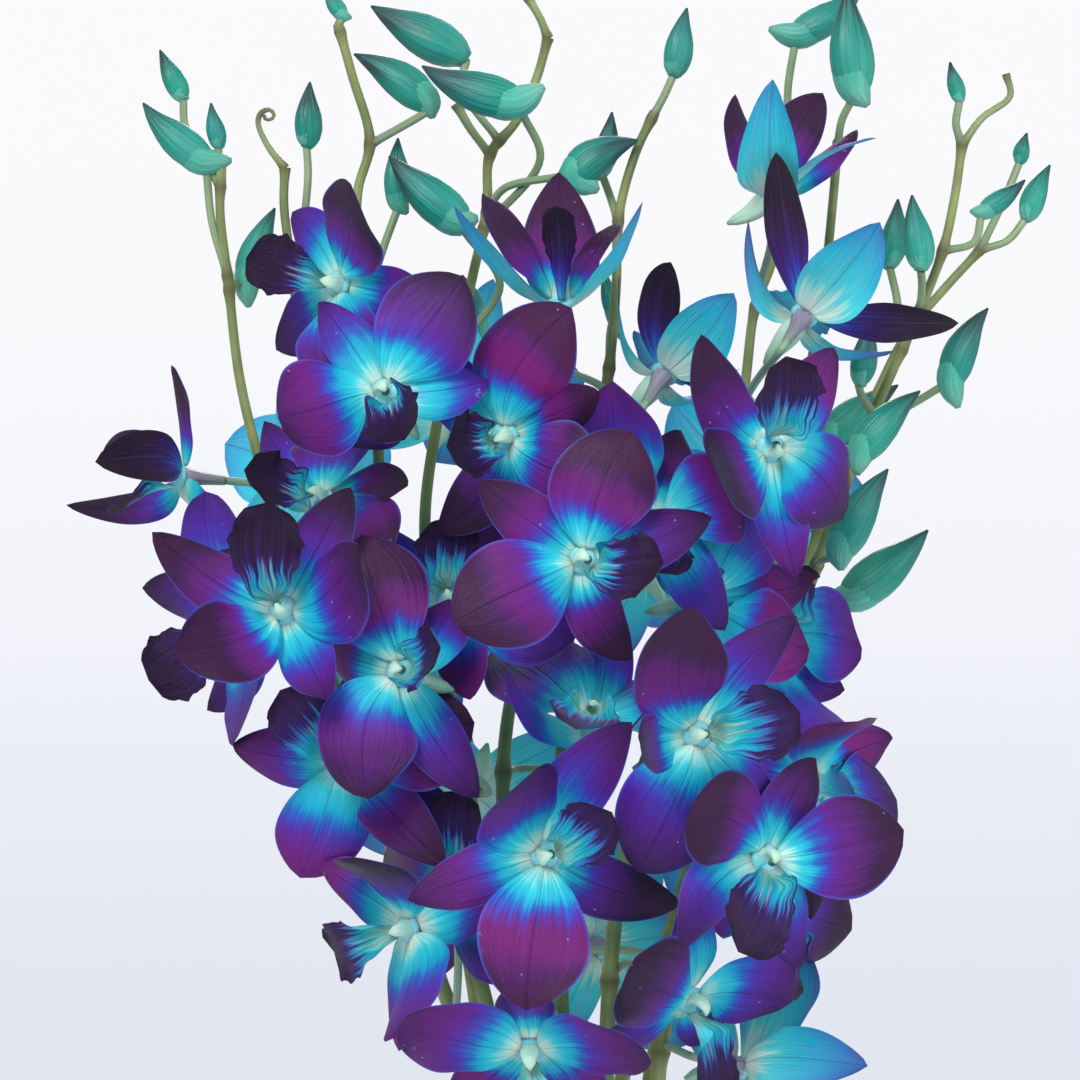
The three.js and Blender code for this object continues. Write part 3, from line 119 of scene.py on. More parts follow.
SPRAYS = {
    1: dict(depth=2, mouth=(-28, -2), route=[
        (222, 165), (220, 210), (228, 280), (240, 380), (262, 470), (300, 590), (350, 730), (400, 870),
        (440, 980), (472, 1080)]),
    2: dict(depth=14, mouth=(-24, 20), route=[
        (285, 168), (284, 205), (291, 260), (302, 330), (325, 430), (350, 540), (385, 660), (425, 790),
        (462, 920), (484, 1080)]),
    3: dict(depth=-18, mouth=(-18, -22), route=[
        (338, 24), (352, 75), (370, 142), (358, 190), (357, 240), (365, 300), (376, 420), (384, 530),
        (402, 660), (440, 830), (475, 960), (500, 1080)]),
    4: dict(depth=-2, mouth=(-8, 6), route=[
        (548, 38), (536, 80), (516, 122), (490, 155), (487, 210), (474, 270), (458, 340), (434, 440),
        (425, 540), (450, 700), (492, 900), (528, 1080)]),
    5: dict(depth=-28, mouth=(-2, -34), route=[
        (552, 215), (556, 330), (566, 440), (572, 560), (566, 680), (560, 800), (560, 930),
        (562, 1080)]),
    6: dict(depth=-10, mouth=(-5, -15), route=[
        (655, 112), (636, 152), (619, 215), (616, 290), (606, 390), (585, 480), (548, 590), (513, 690),
        (503, 800), (520, 940), (546, 1080)]),
    7: dict(depth=8, mouth=(12, -24), route=[
        (788, 120), (788, 180), (772, 262), (755, 308), (744, 390), (724, 480), (697, 562), (665, 690),
        (643, 775), (624, 860), (612, 950), (606, 1080)]),
    8: dict(depth=6, mouth=(16, 8), route=[
        (838, 140), (833, 200), (822, 300), (800, 420), (770, 560), (735, 700), (700, 830), (662, 960),
        (622, 1080)]),
    9: dict(depth=-6, mouth=(28, -4), route=[
        (962, 145), (955, 195), (943, 250), (922, 305), (892, 372), (858, 450), (815, 570), (765, 715),
        (712, 860), (682, 935), (658, 1080)]),
    10: dict(depth=20, mouth=(24, 24), route=[
        (980, 250), (945, 288), (908, 332), (878, 390), (838, 480), (792, 610), (748, 745), (706, 880),
        (674, 980), (650, 1080)]),
}
TWIGS = [
    dict(spray=2, route=[(285, 170), (268, 146), (258, 122), (262, 112), (271, 110), (274, 117), (266, 120),
                         (264, 115)], radius=0.4),
    dict(spray=4, route=[(548, 40), (540, 18), (527, -4)], radius=1.2),
    dict(spray=4, route=[(490, 156), (470, 128), (456, 104)], radius=1.3),
    dict(spray=9, route=[(962, 146), (982, 118), (1010, 96), (1006, 74)], radius=0.9),
]
BUDS = [
    bud_seen(1, (143, 103), (196, 174), (238, 158), (212, 222), (227, 275)),
    bud_seen(1, (160, 50), (181, 102), (190, 98), (186, 128), (221, 190), 12),
    bud_seen(1, (211, 103), (216, 150), (226, 146), (219, 165), (221, 185)),
    bud_seen(1, (275, 208), (240, 282), (250, 312), (234, 284), (229, 290), 12),
    bud_seen(2, (310, 82), (303, 150), (318, 142), (308, 178), (296, 290), 6),
    bud_seen(3, (325, -12), (339, 18), (354, 18), (339, 24), (341, 34)),
    bud_seen(3, (354, 54), (438, 98), (432, 122), (425, 113), (371, 142)),
    bud_seen(3, (398, 138), (393, 208), (410, 215), (380, 258), (366, 306), 6),
    bud_seen(4, (371, 6), (466, 64), (468, 48), (462, 88), (457, 106), 8),
    bud_seen(4, (422, 66), (512, 122), (550, 80), (540, 160), (490, 232), -18),
    bud_seen(4, (638, 140), (545, 170), (608, 195), (505, 188), (489, 216), -12),
    bud_seen(4, (389, 156), (458, 236), (482, 215), (500, 285), (452, 352), -18),
    bud_seen(4, (462, 275), (478, 306), (490, 352), (470, 325), (456, 348), 10),
    bud_seen(6, (687, 8), (669, 77), (684, 76), (664, 96), (653, 116)),
    bud_seen(6, (612, 112), (604, 172), (596, 182), (610, 196), (618, 225), 10),
    bud_seen(6, (604, 268), (609, 310), (624, 346), (610, 335), (609, 370), 12),
    bud_seen(7, (862, -12), (806, 50), (762, 25), (788, 88), (788, 125), 10),
    bud_seen(8, (848, -14), (846, 96), (872, 108), (842, 120), (838, 145), -8),
    bud_seen(9, (950, 62), (957, 103), (966, 100), (956, 124), (962, 148)),
    bud_seen(9, (1025, 180), (986, 218), (967, 210), (974, 242), (944, 254)),
    bud_seen(9, (912, 195), (918, 272), (930, 268), (922, 285), (920, 305), -10),
    bud_seen(9, (898, 199), (892, 268), (884, 270), (897, 300), (899, 350), 10),
    bud_seen(9, (872, 320), (856, 384), (866, 388), (862, 396), (874, 412), -12),
    bud_seen(10, (1027, 133), (1017, 164), (1024, 164), (1004, 200), (982, 250)),
    bud_seen(10, (1050, 165), (1021, 220), (1034, 222), (1008, 240), (980, 252)),
    bud_seen(10, (988, 308), (937, 376), (962, 414), (905, 408), (862, 428), -6),
    bud_seen(9, (920, 391), (850, 450), (858, 480), (842, 462), (846, 482), -16),
    bud_seen(10, (898, 385), (822, 440), (820, 452), (822, 462), (838, 482), 2),
    bud_seen(9, (888, 469), (830, 552), (843, 574), (822, 560), (818, 566), -16),
    bud_seen(10, (928, 530), (852, 612), (828, 590), (836, 640), (784, 636), -6),
]
print(len(SPRAYS), "stems,", len(TWIGS), "twigs and", len(BUDS), "buds")

# %% Blooms, by their pixels
def bloom_seen(spray, heart, depth, faces, joins, roll=None, closed=0, widths={}, **tips):
    return dict(spray=spray, heart=heart, depth=depth, faces=faces, joins=joins, roll=roll, closed=closed,
                widths=widths, tips=tips)


BLOOMS = [
    bloom_seen(3, (385, 392), -62, (0, 5), (376, 430), sepal_top=(318, 302), petal_right=(463, 276),
        sepal_right=(488, 380), lip=(405, 440), sepal_left=(352, 446), petal_left=(278, 418)),
    bloom_seen(5, (505, 436), -56, (-20, -10), (567, 470), sepal_top=(600, 392), petal_right=(604, 478),
        sepal_right=(437, 533), lip=(455, 428), sepal_left=(437, 335), petal_left=(572, 308)),
    bloom_seen(5, (582, 560), -78, (10, 5), (571, 590), sepal_top=(478, 481), petal_right=(632, 431),
        sepal_right=(712, 517), lip=(664, 560), sepal_left=(654, 642), petal_left=(453, 622)),
    bloom_seen(1, (283, 610), -60, (-10, 10), (318, 640), sepal_top=(326, 700), petal_right=(175, 650),
        sepal_right=(152, 532), lip=(268, 502), sepal_left=(351, 487), petal_left=(358, 550)),
    bloom_seen(3, (400, 672), -69, (0, 10), (410, 700), sepal_top=(326, 652), petal_right=(362, 535),
        sepal_right=(455, 600), lip=(440, 645), sepal_left=(479, 798), petal_left=(424, 800)),
    bloom_seen(1, (345, 758), -56, (-15, 5), (368, 780), sepal_top=(446, 866), petal_right=(300, 878),
        sepal_right=(232, 744), lip=(280, 690), sepal_left=(362, 662)),
    bloom_seen(5, (545, 855), -84, (10, 5), (560, 900), sepal_top=(408, 900), petal_right=(560, 765),
        sepal_right=(632, 722), lip=(612, 812), sepal_left=(681, 904), petal_left=(526, 1010)),
    bloom_seen(7, (697, 735), -68, (15, 5), (645, 770), sepal_top=(640, 744), petal_right=(695, 606),
        sepal_right=(797, 616), lip=(800, 712), sepal_left=(775, 822), petal_left=(637, 872)),
    bloom_seen(8, (765, 858), -80, (20, 0), (700, 860), sepal_top=(816, 758), petal_right=(904, 830),
        sepal_right=(796, 969), lip=(738, 952), sepal_left=(712, 975), petal_left=(679, 848)),
    bloom_seen(9, (775, 905), -34, (55, -15), (712, 900), roll=60, sepal_right=(812, 950),
        petal_right=(852, 930), petal_left=(820, 850)),
    bloom_seen(9, (815, 785), -38, (40, 10), (752, 800), sepal_top=(893, 738), petal_left=(857, 722),
        petal_right=(897, 800), lip=(868, 812)),
    bloom_seen(8, (770, 448), -60, (15, 0), (790, 480), sepal_top=(796, 578), petal_right=(712, 462),
        sepal_right=(716, 326), lip=(786, 356), sepal_left=(834, 347), petal_left=(843, 520)),
    bloom_seen(7, (804, 316), -38, (150, 35), (740, 410), widths=dict(sepal_top=1.3, petal_left=0.45,
        sepal_left=0.55, petal_right=0.4, sepal_right=0.5), sepal_top=(880, 222), petal_left=(959, 323),
        sepal_left=(901, 346), petal_right=(776, 152), sepal_right=(762, 204)),
    bloom_seen(7, (778, 190), -20, (10, 60), (757, 306), closed=40, widths=dict(sepal_top=0.9,
        petal_right=0.55, petal_left=0.55, lip=0.5), sepal_top=(857, 129), petal_right=(876, 138),
        sepal_right=(773, 79), sepal_left=(779, 93), petal_left=(823, 93)),
    bloom_seen(6, (664, 374), -40, (150, 38), (576, 510), widths=dict(sepal_top=1.15, petal_left=0.4,
        sepal_left=0.6, petal_right=0.5, sepal_right=0.35), sepal_top=(734, 293), petal_left=(722, 358),
        sepal_left=(740, 368), petal_right=(671, 262), sepal_right=(632, 262)),
    bloom_seen(6, (561, 302), -48, (0, 66), (606, 392), closed=36, widths=dict(sepal_top=1.45,
        petal_right=0.45, sepal_right=0.7, lip=0.5, sepal_left=0.75, petal_left=0.5), sepal_top=(559, 172),
        petal_right=(601, 221), sepal_right=(643, 201), lip=(556, 206), sepal_left=(454, 206),
        petal_left=(482, 193)),
    bloom_seen(2, (338, 284), -46, (-35, 5), (302, 345), petal_left=(351, 184), lip=(246, 258),
        sepal_right=(276, 350), petal_right=(352, 392), sepal_top=(430, 300), sepal_left=(292, 212)),
    bloom_seen(1, (180, 476), -6, (-65, 5), (272, 500), widths=dict(sepal_top=0.7, petal_right=0.55,
        sepal_right=0.5, lip=0.6, sepal_left=0.6, petal_left=0.5), sepal_top=(171, 365),
        petal_left=(102, 453), petal_right=(95, 462), lip=(112, 515), sepal_left=(66, 505)),
    bloom_seen(1, (322, 503), -34, (-30, 30), (284, 548), sepal_left=(264, 421), petal_left=(347, 410),
        sepal_right=(163, 512), lip=(244, 470), sepal_top=(408, 486)),
    bloom_seen(4, (450, 600), -40, (-5, 20), (432, 610), lip=(452, 516), sepal_right=(363, 521),
        petal_right=(372, 640), sepal_left=(512, 506), sepal_top=(470, 700)),
    bloom_seen(6, (652, 520), -40, (15, 15), (578, 505), roll=10, petal_right=(738, 490),
        sepal_top=(681, 430), petal_left=(613, 381)),
    bloom_seen(7, (706, 600), -30, (30, 15), (690, 590), petal_left=(776, 500), sepal_top=(815, 578),
        petal_right=(812, 640), sepal_left=(690, 490)),
    bloom_seen(6, (592, 722), -46, (0, 50), (508, 770), sepal_top=(613, 598), sepal_left=(505, 672),
        sepal_right=(660, 690)),
    bloom_seen(1, (408, 928), -68, (-40, -5), (455, 1020), lip=(334, 952), sepal_left=(320, 864),
        petal_left=(338, 860), petal_right=(385, 1042)),
    bloom_seen(4, (462, 878), -42, (-15, 0), (486, 880), lip=(464, 790), sepal_top=(428, 984),
        petal_left=(505, 985), petal_right=(382, 868), sepal_left=(540, 850)),
    bloom_seen(5, (530, 1050), -74, (0, -35), (561, 1030), sepal_top=(526, 985), petal_left=(397, 1028),
        petal_right=(652, 1062), lip=(548, 1150), sepal_left=(450, 1130), sepal_right=(600, 1140)),
    bloom_seen(7, (690, 1000), -56, (45, -25), (611, 985), petal_right=(785, 1020), sepal_top=(682, 900)),
    bloom_seen(9, (742, 1068), -34, (120, -15), (666, 1050), sepal_top=(868, 1066)),
    bloom_seen(8, (600, 945), 42, (150, 0), (662, 960), roll=80),
    bloom_seen(10, (770, 640), -12, (50, 5), (774, 670), petal_left=(862, 648), petal_right=(868, 752),
        sepal_top=(845, 690)),
    bloom_seen(2, (240, 625), -22, (-45, -15), (372, 625), sepal_left=(142, 588), petal_right=(232, 746),
        sepal_right=(166, 640)),
    bloom_seen(2, (322, 480), 40, (-165, 10), (336, 490), roll=-10, closed=42),
    bloom_seen(4, (455, 400), 40, (175, 10), (444, 400), roll=20),
    bloom_seen(2, (420, 620), 50, (-165, 5), (380, 650), roll=160),
    bloom_seen(8, (640, 560), 46, (178, 0), (768, 570), roll=-30),
    bloom_seen(10, (745, 500), 66, (150, 5), (820, 535), roll=30),
    bloom_seen(4, (470, 790), 46, (-160, 0), (468, 780), roll=190),
    bloom_seen(10, (735, 800), 62, (150, -5), (728, 810), roll=150),
]
print(len(BLOOMS), "blooms")

# %% [markdown]
# ## Making a mesh, and the marks on its skin
# Two kinds of surface make every flower part. A blade is a thin leaf with a front and a back that share
# their edge. A round is a skin of rings round a line, closed at both ends. Both carry an attribute named
# skin: on a blade it holds how far across and how far along a point is, and on a round the direction round
# the line and the way along it. The materials draw veins and stripes from it, so that they follow the part
# however it bends.
# %% A builder that gathers closed shells into one piece
def unit(vectors):
    vectors = np.asarray(vectors, float)
    return vectors / np.linalg.norm(vectors, axis=-1, keepdims=True)


class Shells:
    def __init__(self):
        self.points, self.faces, self.finishes, self.skin, self.marks, self.rim = [], [], [], [], [], []
        self.count = 0

    def add(self, points, faces, finishes, skin, marks, rim=None):
        self.points.append(points)
        self.faces += [tuple(self.count + k for k in face) for face in faces]
        self.finishes += finishes
        self.skin.append(skin)
        self.marks.append(np.tile(np.array(marks, float), (len(points), 1)))
        self.rim.append(np.zeros(len(points), bool) if rim is None else rim)
        self.count += len(points)

    def piece(self, name, materials):
        mesh = bpy.data.meshes.new(name)
        mesh.from_pydata((np.vstack(self.points) * MM).tolist(), [], self.faces)
        for finish in materials:
            mesh.materials.append(finish)
        mesh.polygons.foreach_set("material_index", self.finishes)
        mesh.shade_smooth()
        for key, values in (("skin", np.vstack(self.skin)), ("marks", np.vstack(self.marks))):
            mesh.attributes.new(key, "FLOAT_VECTOR", "POINT").data.foreach_set("vector", values.ravel())
        ends = np.zeros(len(mesh.edges) * 2, np.int32)
        mesh.edges.foreach_get("vertices", ends)
        sharp = np.concatenate(self.rim)[ends.reshape(-1, 2)].all(axis=1)
        mesh.attributes.new("sharp_edge", "BOOLEAN", "EDGE").data.foreach_set("value", sharp)
        mesh.update()
        return placed(name, mesh)


# %% A round: rings along a line, closed to a point at both ends
def frames_along(line, start=None):
    ahead = unit(np.gradient(line, axis=0))
    right = np.array([0.0, 0.0, 1.0]) if start is None else np.array(start, float)
    if abs(ahead[0] @ right) > 0.95:
        right = np.array([1.0, 0.0, 0.0])
    rights = []
    for direction in ahead:
        right = unit(right - direction * (right @ direction))
        rights.append(right)
    rights = np.array(rights)
    return rights, np.cross(ahead, rights)


def ring_faces(rings, sides):
    low, last = rings * sides, (rings - 1) * sides
    pairs = [(k, (k + 1) % sides) for k in range(sides)]
    faces = [(i + k, i + m, i + sides + m, i + sides + k) for i in range(0, last, sides) for k, m in pairs]
    for k, m in pairs:
        faces += [(low, m, k), (low + 1, last + k, last + m)]
    return faces


def add_round(shells, line, wide, deep, finish, marks, sides=16, start=None, ribs=None):
    line = np.asarray(line, float)
    rights, ups = frames_along(line, start)
    angle = 2 * math.pi * np.arange(sides) / sides
    ring = np.column_stack([np.cos(angle), np.sin(angle)])
    share = np.linspace(0, 1, len(line))
    swell = np.ones((len(line), sides)) if ribs is None else ribs(share[:, None], angle[None, :])
    wide, deep = (np.broadcast_to(np.asarray(r, float), len(line)) for r in (wide, deep))
    points = line[:, None] + rights[:, None] * (ring[None, :, :1] * (wide[:, None] * swell)[..., None])
    points = points + ups[:, None] * (ring[None, :, 1:] * (deep[:, None] * swell)[..., None])
    length = np.concatenate([[0], np.cumsum(np.linalg.norm(np.diff(line, axis=0), axis=1))])
    skin = np.empty((len(line), sides, 3))
    skin[..., :2] = ring
    skin[..., 2] = (length / length[-1])[:, None]
    faces = ring_faces(len(line), sides)
    points = np.vstack([points.reshape(-1, 3), line[0], line[-1]])
    skin = np.vstack([skin.reshape(-1, 3), [0, 0, 0], [0, 0, 1]])
    shells.add(points, faces, [finish] * len(faces), skin, marks)


print("a round is closed by one point at each end")

# %% [markdown]
# ## Colour, and the effects that several materials share
# A dyed orchid has no even colour anywhere: dye creeps along the veins, so that each change of colour is
# feathered into fine streaks. The streaks, the pale specks and the fine grain of the skin are shader groups
# with named inputs, used by petals, lips, buds and stems alike. A group puts out a number or a colour, and
# each material keeps its own Principled shader.
# %% Small helpers for node trees
def paint(code):
    channels = [int(code[i:i + 2], 16) / 255 for i in (1, 3, 5)]
    linear = [c / 12.92 if c <= 0.04045 else ((c + 0.055) / 1.055) ** 2.4 for c in channels]
    return (*linear, 1.0)


def feed(tree, node, inputs):
    for key, value in inputs.items():
        if isinstance(value, bpy.types.NodeSocket):
            tree.links.new(value, node.inputs[key])
        else:
            node.inputs[key].default_value = value
    return node


def put(tree, kind, inputs={}, **settings):
    made = tree.nodes.new(kind)
    for key, value in settings.items():
        setattr(made, key, value)
    return feed(tree, made, inputs)


def calc(tree, operation, *values, clamp=False):
    made = put(tree, "ShaderNodeMath", dict(enumerate(values)), operation=operation, use_clamp=clamp)
    return made.outputs[0]


def between(tree, value, low, high, out_low=0.0, out_high=1.0):
    made = put(tree, "ShaderNodeMapRange", interpolation_type="SMOOTHSTEP")
    feed(tree, made, dict(zip(("Value", "From Min", "From Max", "To Min", "To Max"),
                              (value, low, high, out_low, out_high))))
    return made.outputs[0]


def mixed(tree, share, first, second, mode="MIX"):
    made = put(tree, "ShaderNodeMix", {0: share, 6: first, 7: second}, data_type="RGBA", blend_type=mode)
    return made.outputs[2]


def stained(tree, colour, stain, mask, amount, mode="MIX"):
    return mixed(tree, calc(tree, "MULTIPLY", mask, amount), colour, paint(stain), mode)


def ramp(tree, value, stops):
    made = put(tree, "ShaderNodeValToRGB", {0: value})
    elements = made.color_ramp.elements
    while len(elements) < len(stops):
        elements.new(0.5)
    for element, (place, code) in zip(elements, stops):
        element.position = place
        element.color = paint(code)
    return made.outputs[0]


def new_group(name, inputs, outputs):
    tree = bpy.data.node_groups.new(name, "ShaderNodeTree")
    for label, kind, value in inputs:
        socket = tree.interface.new_socket(label, in_out="INPUT", socket_type=kind)
        if value is not None:
            socket.default_value = value
    for label, kind in outputs:
        tree.interface.new_socket(label, in_out="OUTPUT", socket_type=kind)
    return tree, tree.nodes.new("NodeGroupInput").outputs, tree.nodes.new("NodeGroupOutput").inputs


def use(tree, group, **inputs):
    return put(tree, "ShaderNodeGroup", inputs, node_tree=group).outputs


FLOAT, VECTOR = "NodeSocketFloat", "NodeSocketVector"
print("a teal bud in linear colour is", [round(c, 3) for c in paint("#47b6a1")[:3]])

# %% Group: streaks that run along a part
streaks, given, out = new_group(
    "streaks",
    [("Skin", VECTOR, None), ("Count", FLOAT, 10.0), ("Stretch", FLOAT, 1.0), ("Seed", FLOAT, 0.0)],
    [("Streak", FLOAT)],
)
SEED_STRIDE = 31.7
skin_parts = put(streaks, "ShaderNodeSeparateXYZ", {0: given["Skin"]}).outputs
far_off = calc(streaks, "MULTIPLY", given["Seed"], SEED_STRIDE)
place = put(streaks, "ShaderNodeCombineXYZ", {
    0: calc(streaks, "MULTIPLY", skin_parts[0], given["Count"]),
    1: calc(streaks, "MULTIPLY_ADD", skin_parts[1], given["Count"], far_off),
    2: calc(streaks, "MULTIPLY", skin_parts[2], given["Stretch"]),
}).outputs[0]
cloud = put(streaks, "ShaderNodeTexNoise", {"Vector": place, "Scale": 1.0, "Detail": 3.0, "Roughness": 0.6})
streaks.links.new(between(streaks, cloud.outputs[0], 0.28, 0.72), out["Streak"])
print("streaks:", len(streaks.nodes), "nodes")

# %% Group: pale specks where dye missed or water stood
specks, given, out = new_group(
    "specks",
    [("Place", VECTOR, None), ("Scale", FLOAT, 500.0), ("Size", FLOAT, 0.2), ("Share", FLOAT, 0.1)],
    [("Mask", FLOAT)],
)
cells = put(specks, "ShaderNodeTexVoronoi", {"Vector": given["Place"], "Scale": given["Scale"]})
core = calc(specks, "MULTIPLY", given["Size"], 0.5)
near = between(specks, cells.outputs["Distance"], core, given["Size"], 1.0, 0.0)
luck = put(specks, "ShaderNodeSeparateColor", {0: cells.outputs["Color"]}).outputs[0]
lucky = calc(specks, "LESS_THAN", luck, given["Share"])
specks.links.new(calc(specks, "MULTIPLY", near, lucky), out["Mask"])
print("specks:", len(specks.nodes), "nodes")

# %% Group: the fine grain of living skin, as a height and a small change of roughness
grain, given, out = new_group(
    "skin_grain",
    [("Place", VECTOR, None), ("Scale", FLOAT, 900.0), ("Roughness", FLOAT, 0.5)],
    [("Height", FLOAT), ("Roughness", FLOAT)],
)
fine = put(grain, "ShaderNodeTexNoise", {"Vector": given["Place"], "Scale": given["Scale"], "Detail": 2.0})
broad = put(grain, "ShaderNodeTexNoise", {"Vector": given["Place"], "Scale": 60.0, "Detail": 2.0})
ROUGHNESS_SPREAD = 0.25
grain.links.new(fine.outputs[0], out["Height"])
least = calc(grain, "SUBTRACT", given["Roughness"], ROUGHNESS_SPREAD / 2)
grain.links.new(calc(grain, "MULTIPLY_ADD", broad.outputs[0], ROUGHNESS_SPREAD, least), out["Roughness"])
print("skin_grain:", len(grain.nodes), "nodes")

# %% A material with its own shader, and what every one of them starts from
def new_material(name, **fixed):
    material = bpy.data.materials.new(name)
    material.use_nodes = True
    tree = material.node_tree
    shader = tree.nodes["Principled BSDF"]
    for key, value in fixed.items():
        shader.inputs[key.replace("_", " ")].default_value = value
    return material, tree, shader


def new_finish(name, **fixed):
    material, tree, shader = new_material(name, **fixed)
    skin = put(tree, "ShaderNodeAttribute", attribute_name="skin").outputs["Vector"]
    marks = put(tree, "ShaderNodeSeparateXYZ", {
        0: put(tree, "ShaderNodeAttribute", attribute_name="marks").outputs["Vector"]}).outputs
    place = put(tree, "ShaderNodeTexCoord").outputs["Object"]
    return material, tree, shader, skin, marks, place


def dress(tree, shader, place, colour, relief, depth, grain_scale, roughness, grain_share):
    own = use(tree, grain, Place=place, Scale=grain_scale, Roughness=roughness)
    height = calc(tree, "MULTIPLY_ADD", own["Height"], grain_share, relief)
    bump = put(tree, "ShaderNodeBump", {"Height": height, "Distance": depth, "Strength": 0.9})
    sockets = {"Base Color": colour, "Roughness": own["Roughness"], "Normal": bump.outputs[0]}
    for label, socket in sockets.items():
        tree.links.new(socket, shader.inputs[label])
    print("a skin of", len(tree.nodes), "nodes")


def blade_skin(name, specular, vein_count, vein_stretch, hair_count, hair_stretch):
    material, tree, shader, skin, marks, place = new_finish(name, Specular_IOR_Level=specular)
    across, _, along = put(tree, "ShaderNodeSeparateXYZ", {0: skin}).outputs
    dark, warm, seed = marks
    veins = use(tree, streaks, Skin=skin, Count=vein_count, Stretch=vein_stretch, Seed=seed)["Streak"]
    hairs = use(tree, streaks, Skin=skin, Count=hair_count, Stretch=hair_stretch, Seed=seed)["Streak"]
    return material, tree, shader, place, along, calc(tree, "ABSOLUTE", across), veins, hairs, dark, warm


def reach_of_dye(tree, pushed, side_way, pace, start, side_push):
    reach = calc(tree, "ADD", pushed, start)
    reach = calc(tree, "MULTIPLY_ADD", calc(tree, "POWER", side_way, 2.0), side_push, reach)
    return calc(tree, "MULTIPLY", reach, pace, clamp=True)


print("each skin has a Principled shader of its own")

# %% [markdown]
# ## The front of a petal
# Seen from the front, dye runs from the throat outwards: almost white, cyan, blue, violet, then a dark
# maroon end. How far each colour reaches differs from petal to petal, so each blade carries three marks:
# how dark it is, how warm its violet is, and a seed. One colour ramp serves them all, because the marks
# push the place where it is read. The thin blue line along the edge and the line of the middle vein are
# made from the way across.
# %% Petal front
petal_front, tree, shader, place, along, side_way, veins, hairs, dark, warm = blade_skin(
    "petal_front", specular=0.28, vein_count=10.0, vein_stretch=1.4, hair_count=42.0, hair_stretch=3.0)
VEIN_FEATHER, HAIR_FEATHER, CLOUD_FEATHER = 0.075, 0.035, 0.24
feather = calc(tree, "MULTIPLY_ADD", veins, VEIN_FEATHER, calc(tree, "MULTIPLY", hairs, HAIR_FEATHER))
clouds = put(tree, "ShaderNodeTexNoise", {"Vector": place, "Scale": 75.0, "Detail": 2.0}).outputs[0]
feather = calc(tree, "MULTIPLY_ADD", clouds, CLOUD_FEATHER, feather)
pace = calc(tree, "MULTIPLY_ADD", calc(tree, "MINIMUM", dark, 1.0), 0.95, 0.55)
reach = reach_of_dye(tree, calc(tree, "ADD", along, feather), side_way, pace, start=-0.19, side_push=0.1)
front_dye = ramp(tree, reach, [
    (0.0, "#eefaee"), (0.08, "#aef2e6"), (0.18, "#34d4e0"), (0.3, "#04b0d4"), (0.38, "#1c68c4"),
    (0.46, "#4234b4"), (0.58, "#4c1c98"), (0.74, "#40126c"), (1.0, "#260a30")])
blush = calc(tree, "MULTIPLY", between(tree, reach, 0.4, 0.6), between(tree, reach, 0.65, 0.95, 1.0, 0.25))
front_dye = stained(tree, front_dye, "#740a6c", blush, warm)
edge = between(tree, side_way, 0.93, 1.0)
front_dye = stained(tree, front_dye, "#3f62d6", edge, between(tree, along, 0.15, 0.4, 0.0, 0.55))
middle_vein = between(tree, side_way, 0.0, 0.035, 1.0, 0.0)
front_dye = stained(tree, front_dye, "#1c1050", middle_vein, 0.35)
front_dye = stained(tree, front_dye, "#3c2a5c", hairs, 0.2, "MULTIPLY")
dots = use(tree, specks, Place=place, Scale=420.0, Size=0.16, Share=0.06)["Mask"]
patches = put(tree, "ShaderNodeTexNoise", {"Vector": place, "Scale": 55.0, "Detail": 6.0, "Roughness": 0.75})
bleached = between(tree, patches.outputs[0], 0.66, 0.7, 0.0, 0.55)
bleached = calc(tree, "MAXIMUM", calc(tree, "MULTIPLY", dots, 0.8), bleached)
front_dye = mixed(tree, bleached, front_dye, paint("#6f8fd8"))
relief = calc(tree, "MULTIPLY_ADD", hairs, 0.5, calc(tree, "MULTIPLY", veins, 0.8))
relief = calc(tree, "SUBTRACT", relief, calc(tree, "MULTIPLY", middle_vein, 1.2))
dress(tree, shader, place, front_dye, relief, depth=0.00016, grain_scale=1100.0, roughness=0.5,
      grain_share=0.15)

# %% [markdown]
# ## The back of a petal
# The back rarely takes the violet: it is bright cyan to teal, nearly white where it meets the ovary, and
# pale stripes run along it between the veins. The same marks are read, more softly. A blade whose first mark
# is well over one is dyed right through, and its back is as dark as its front.
# %% Petal back
petal_back, tree, shader, place, along, side_way, veins, hairs, dark, _ = blade_skin(
    "petal_back", specular=0.35, vein_count=7.0, vein_stretch=1.2, hair_count=30.0, hair_stretch=2.5)
pace = calc(tree, "MULTIPLY_ADD", calc(tree, "MINIMUM", dark, 1.2), 0.55, 0.62)
pushed = calc(tree, "MULTIPLY_ADD", veins, 0.22, along)
reach = reach_of_dye(tree, pushed, side_way, pace, start=-0.13, side_push=0.14)
back_dye = ramp(tree, reach, [
    (0.0, "#f6faea"), (0.14, "#d0f6e6"), (0.28, "#3ee2e6"), (0.5, "#04cbe6"), (0.7, "#069fdc"),
    (0.86, "#1c6cc8"), (1.0, "#38348c")])
back_dye = stained(tree, back_dye, "#d4f8ee", veins, 0.16)
back_dye = stained(tree, back_dye, "#5cc4d4", hairs, 0.3, "MULTIPLY")
dyed_through = ramp(tree, reach, [
    (0.0, "#49c6e0"), (0.16, "#2576cc"), (0.32, "#3b33a4"), (0.5, "#3d1870"), (0.75, "#301044"),
    (1.0, "#220a28")])
back_dye = mixed(tree, between(tree, dark, 1.1, 1.2), back_dye, dyed_through)
middle_vein = between(tree, side_way, 0.0, 0.05, 1.0, 0.0)
back_dye = stained(tree, back_dye, "#2a5f94", middle_vein, 0.3)
relief = calc(tree, "MULTIPLY_ADD", veins, 0.9, calc(tree, "MULTIPLY", hairs, 0.4))
relief = calc(tree, "MULTIPLY_ADD", middle_vein, 1.0, relief)
dress(tree, shader, place, back_dye, relief, depth=0.00025, grain_scale=1000.0, roughness=0.52,
      grain_share=0.15)

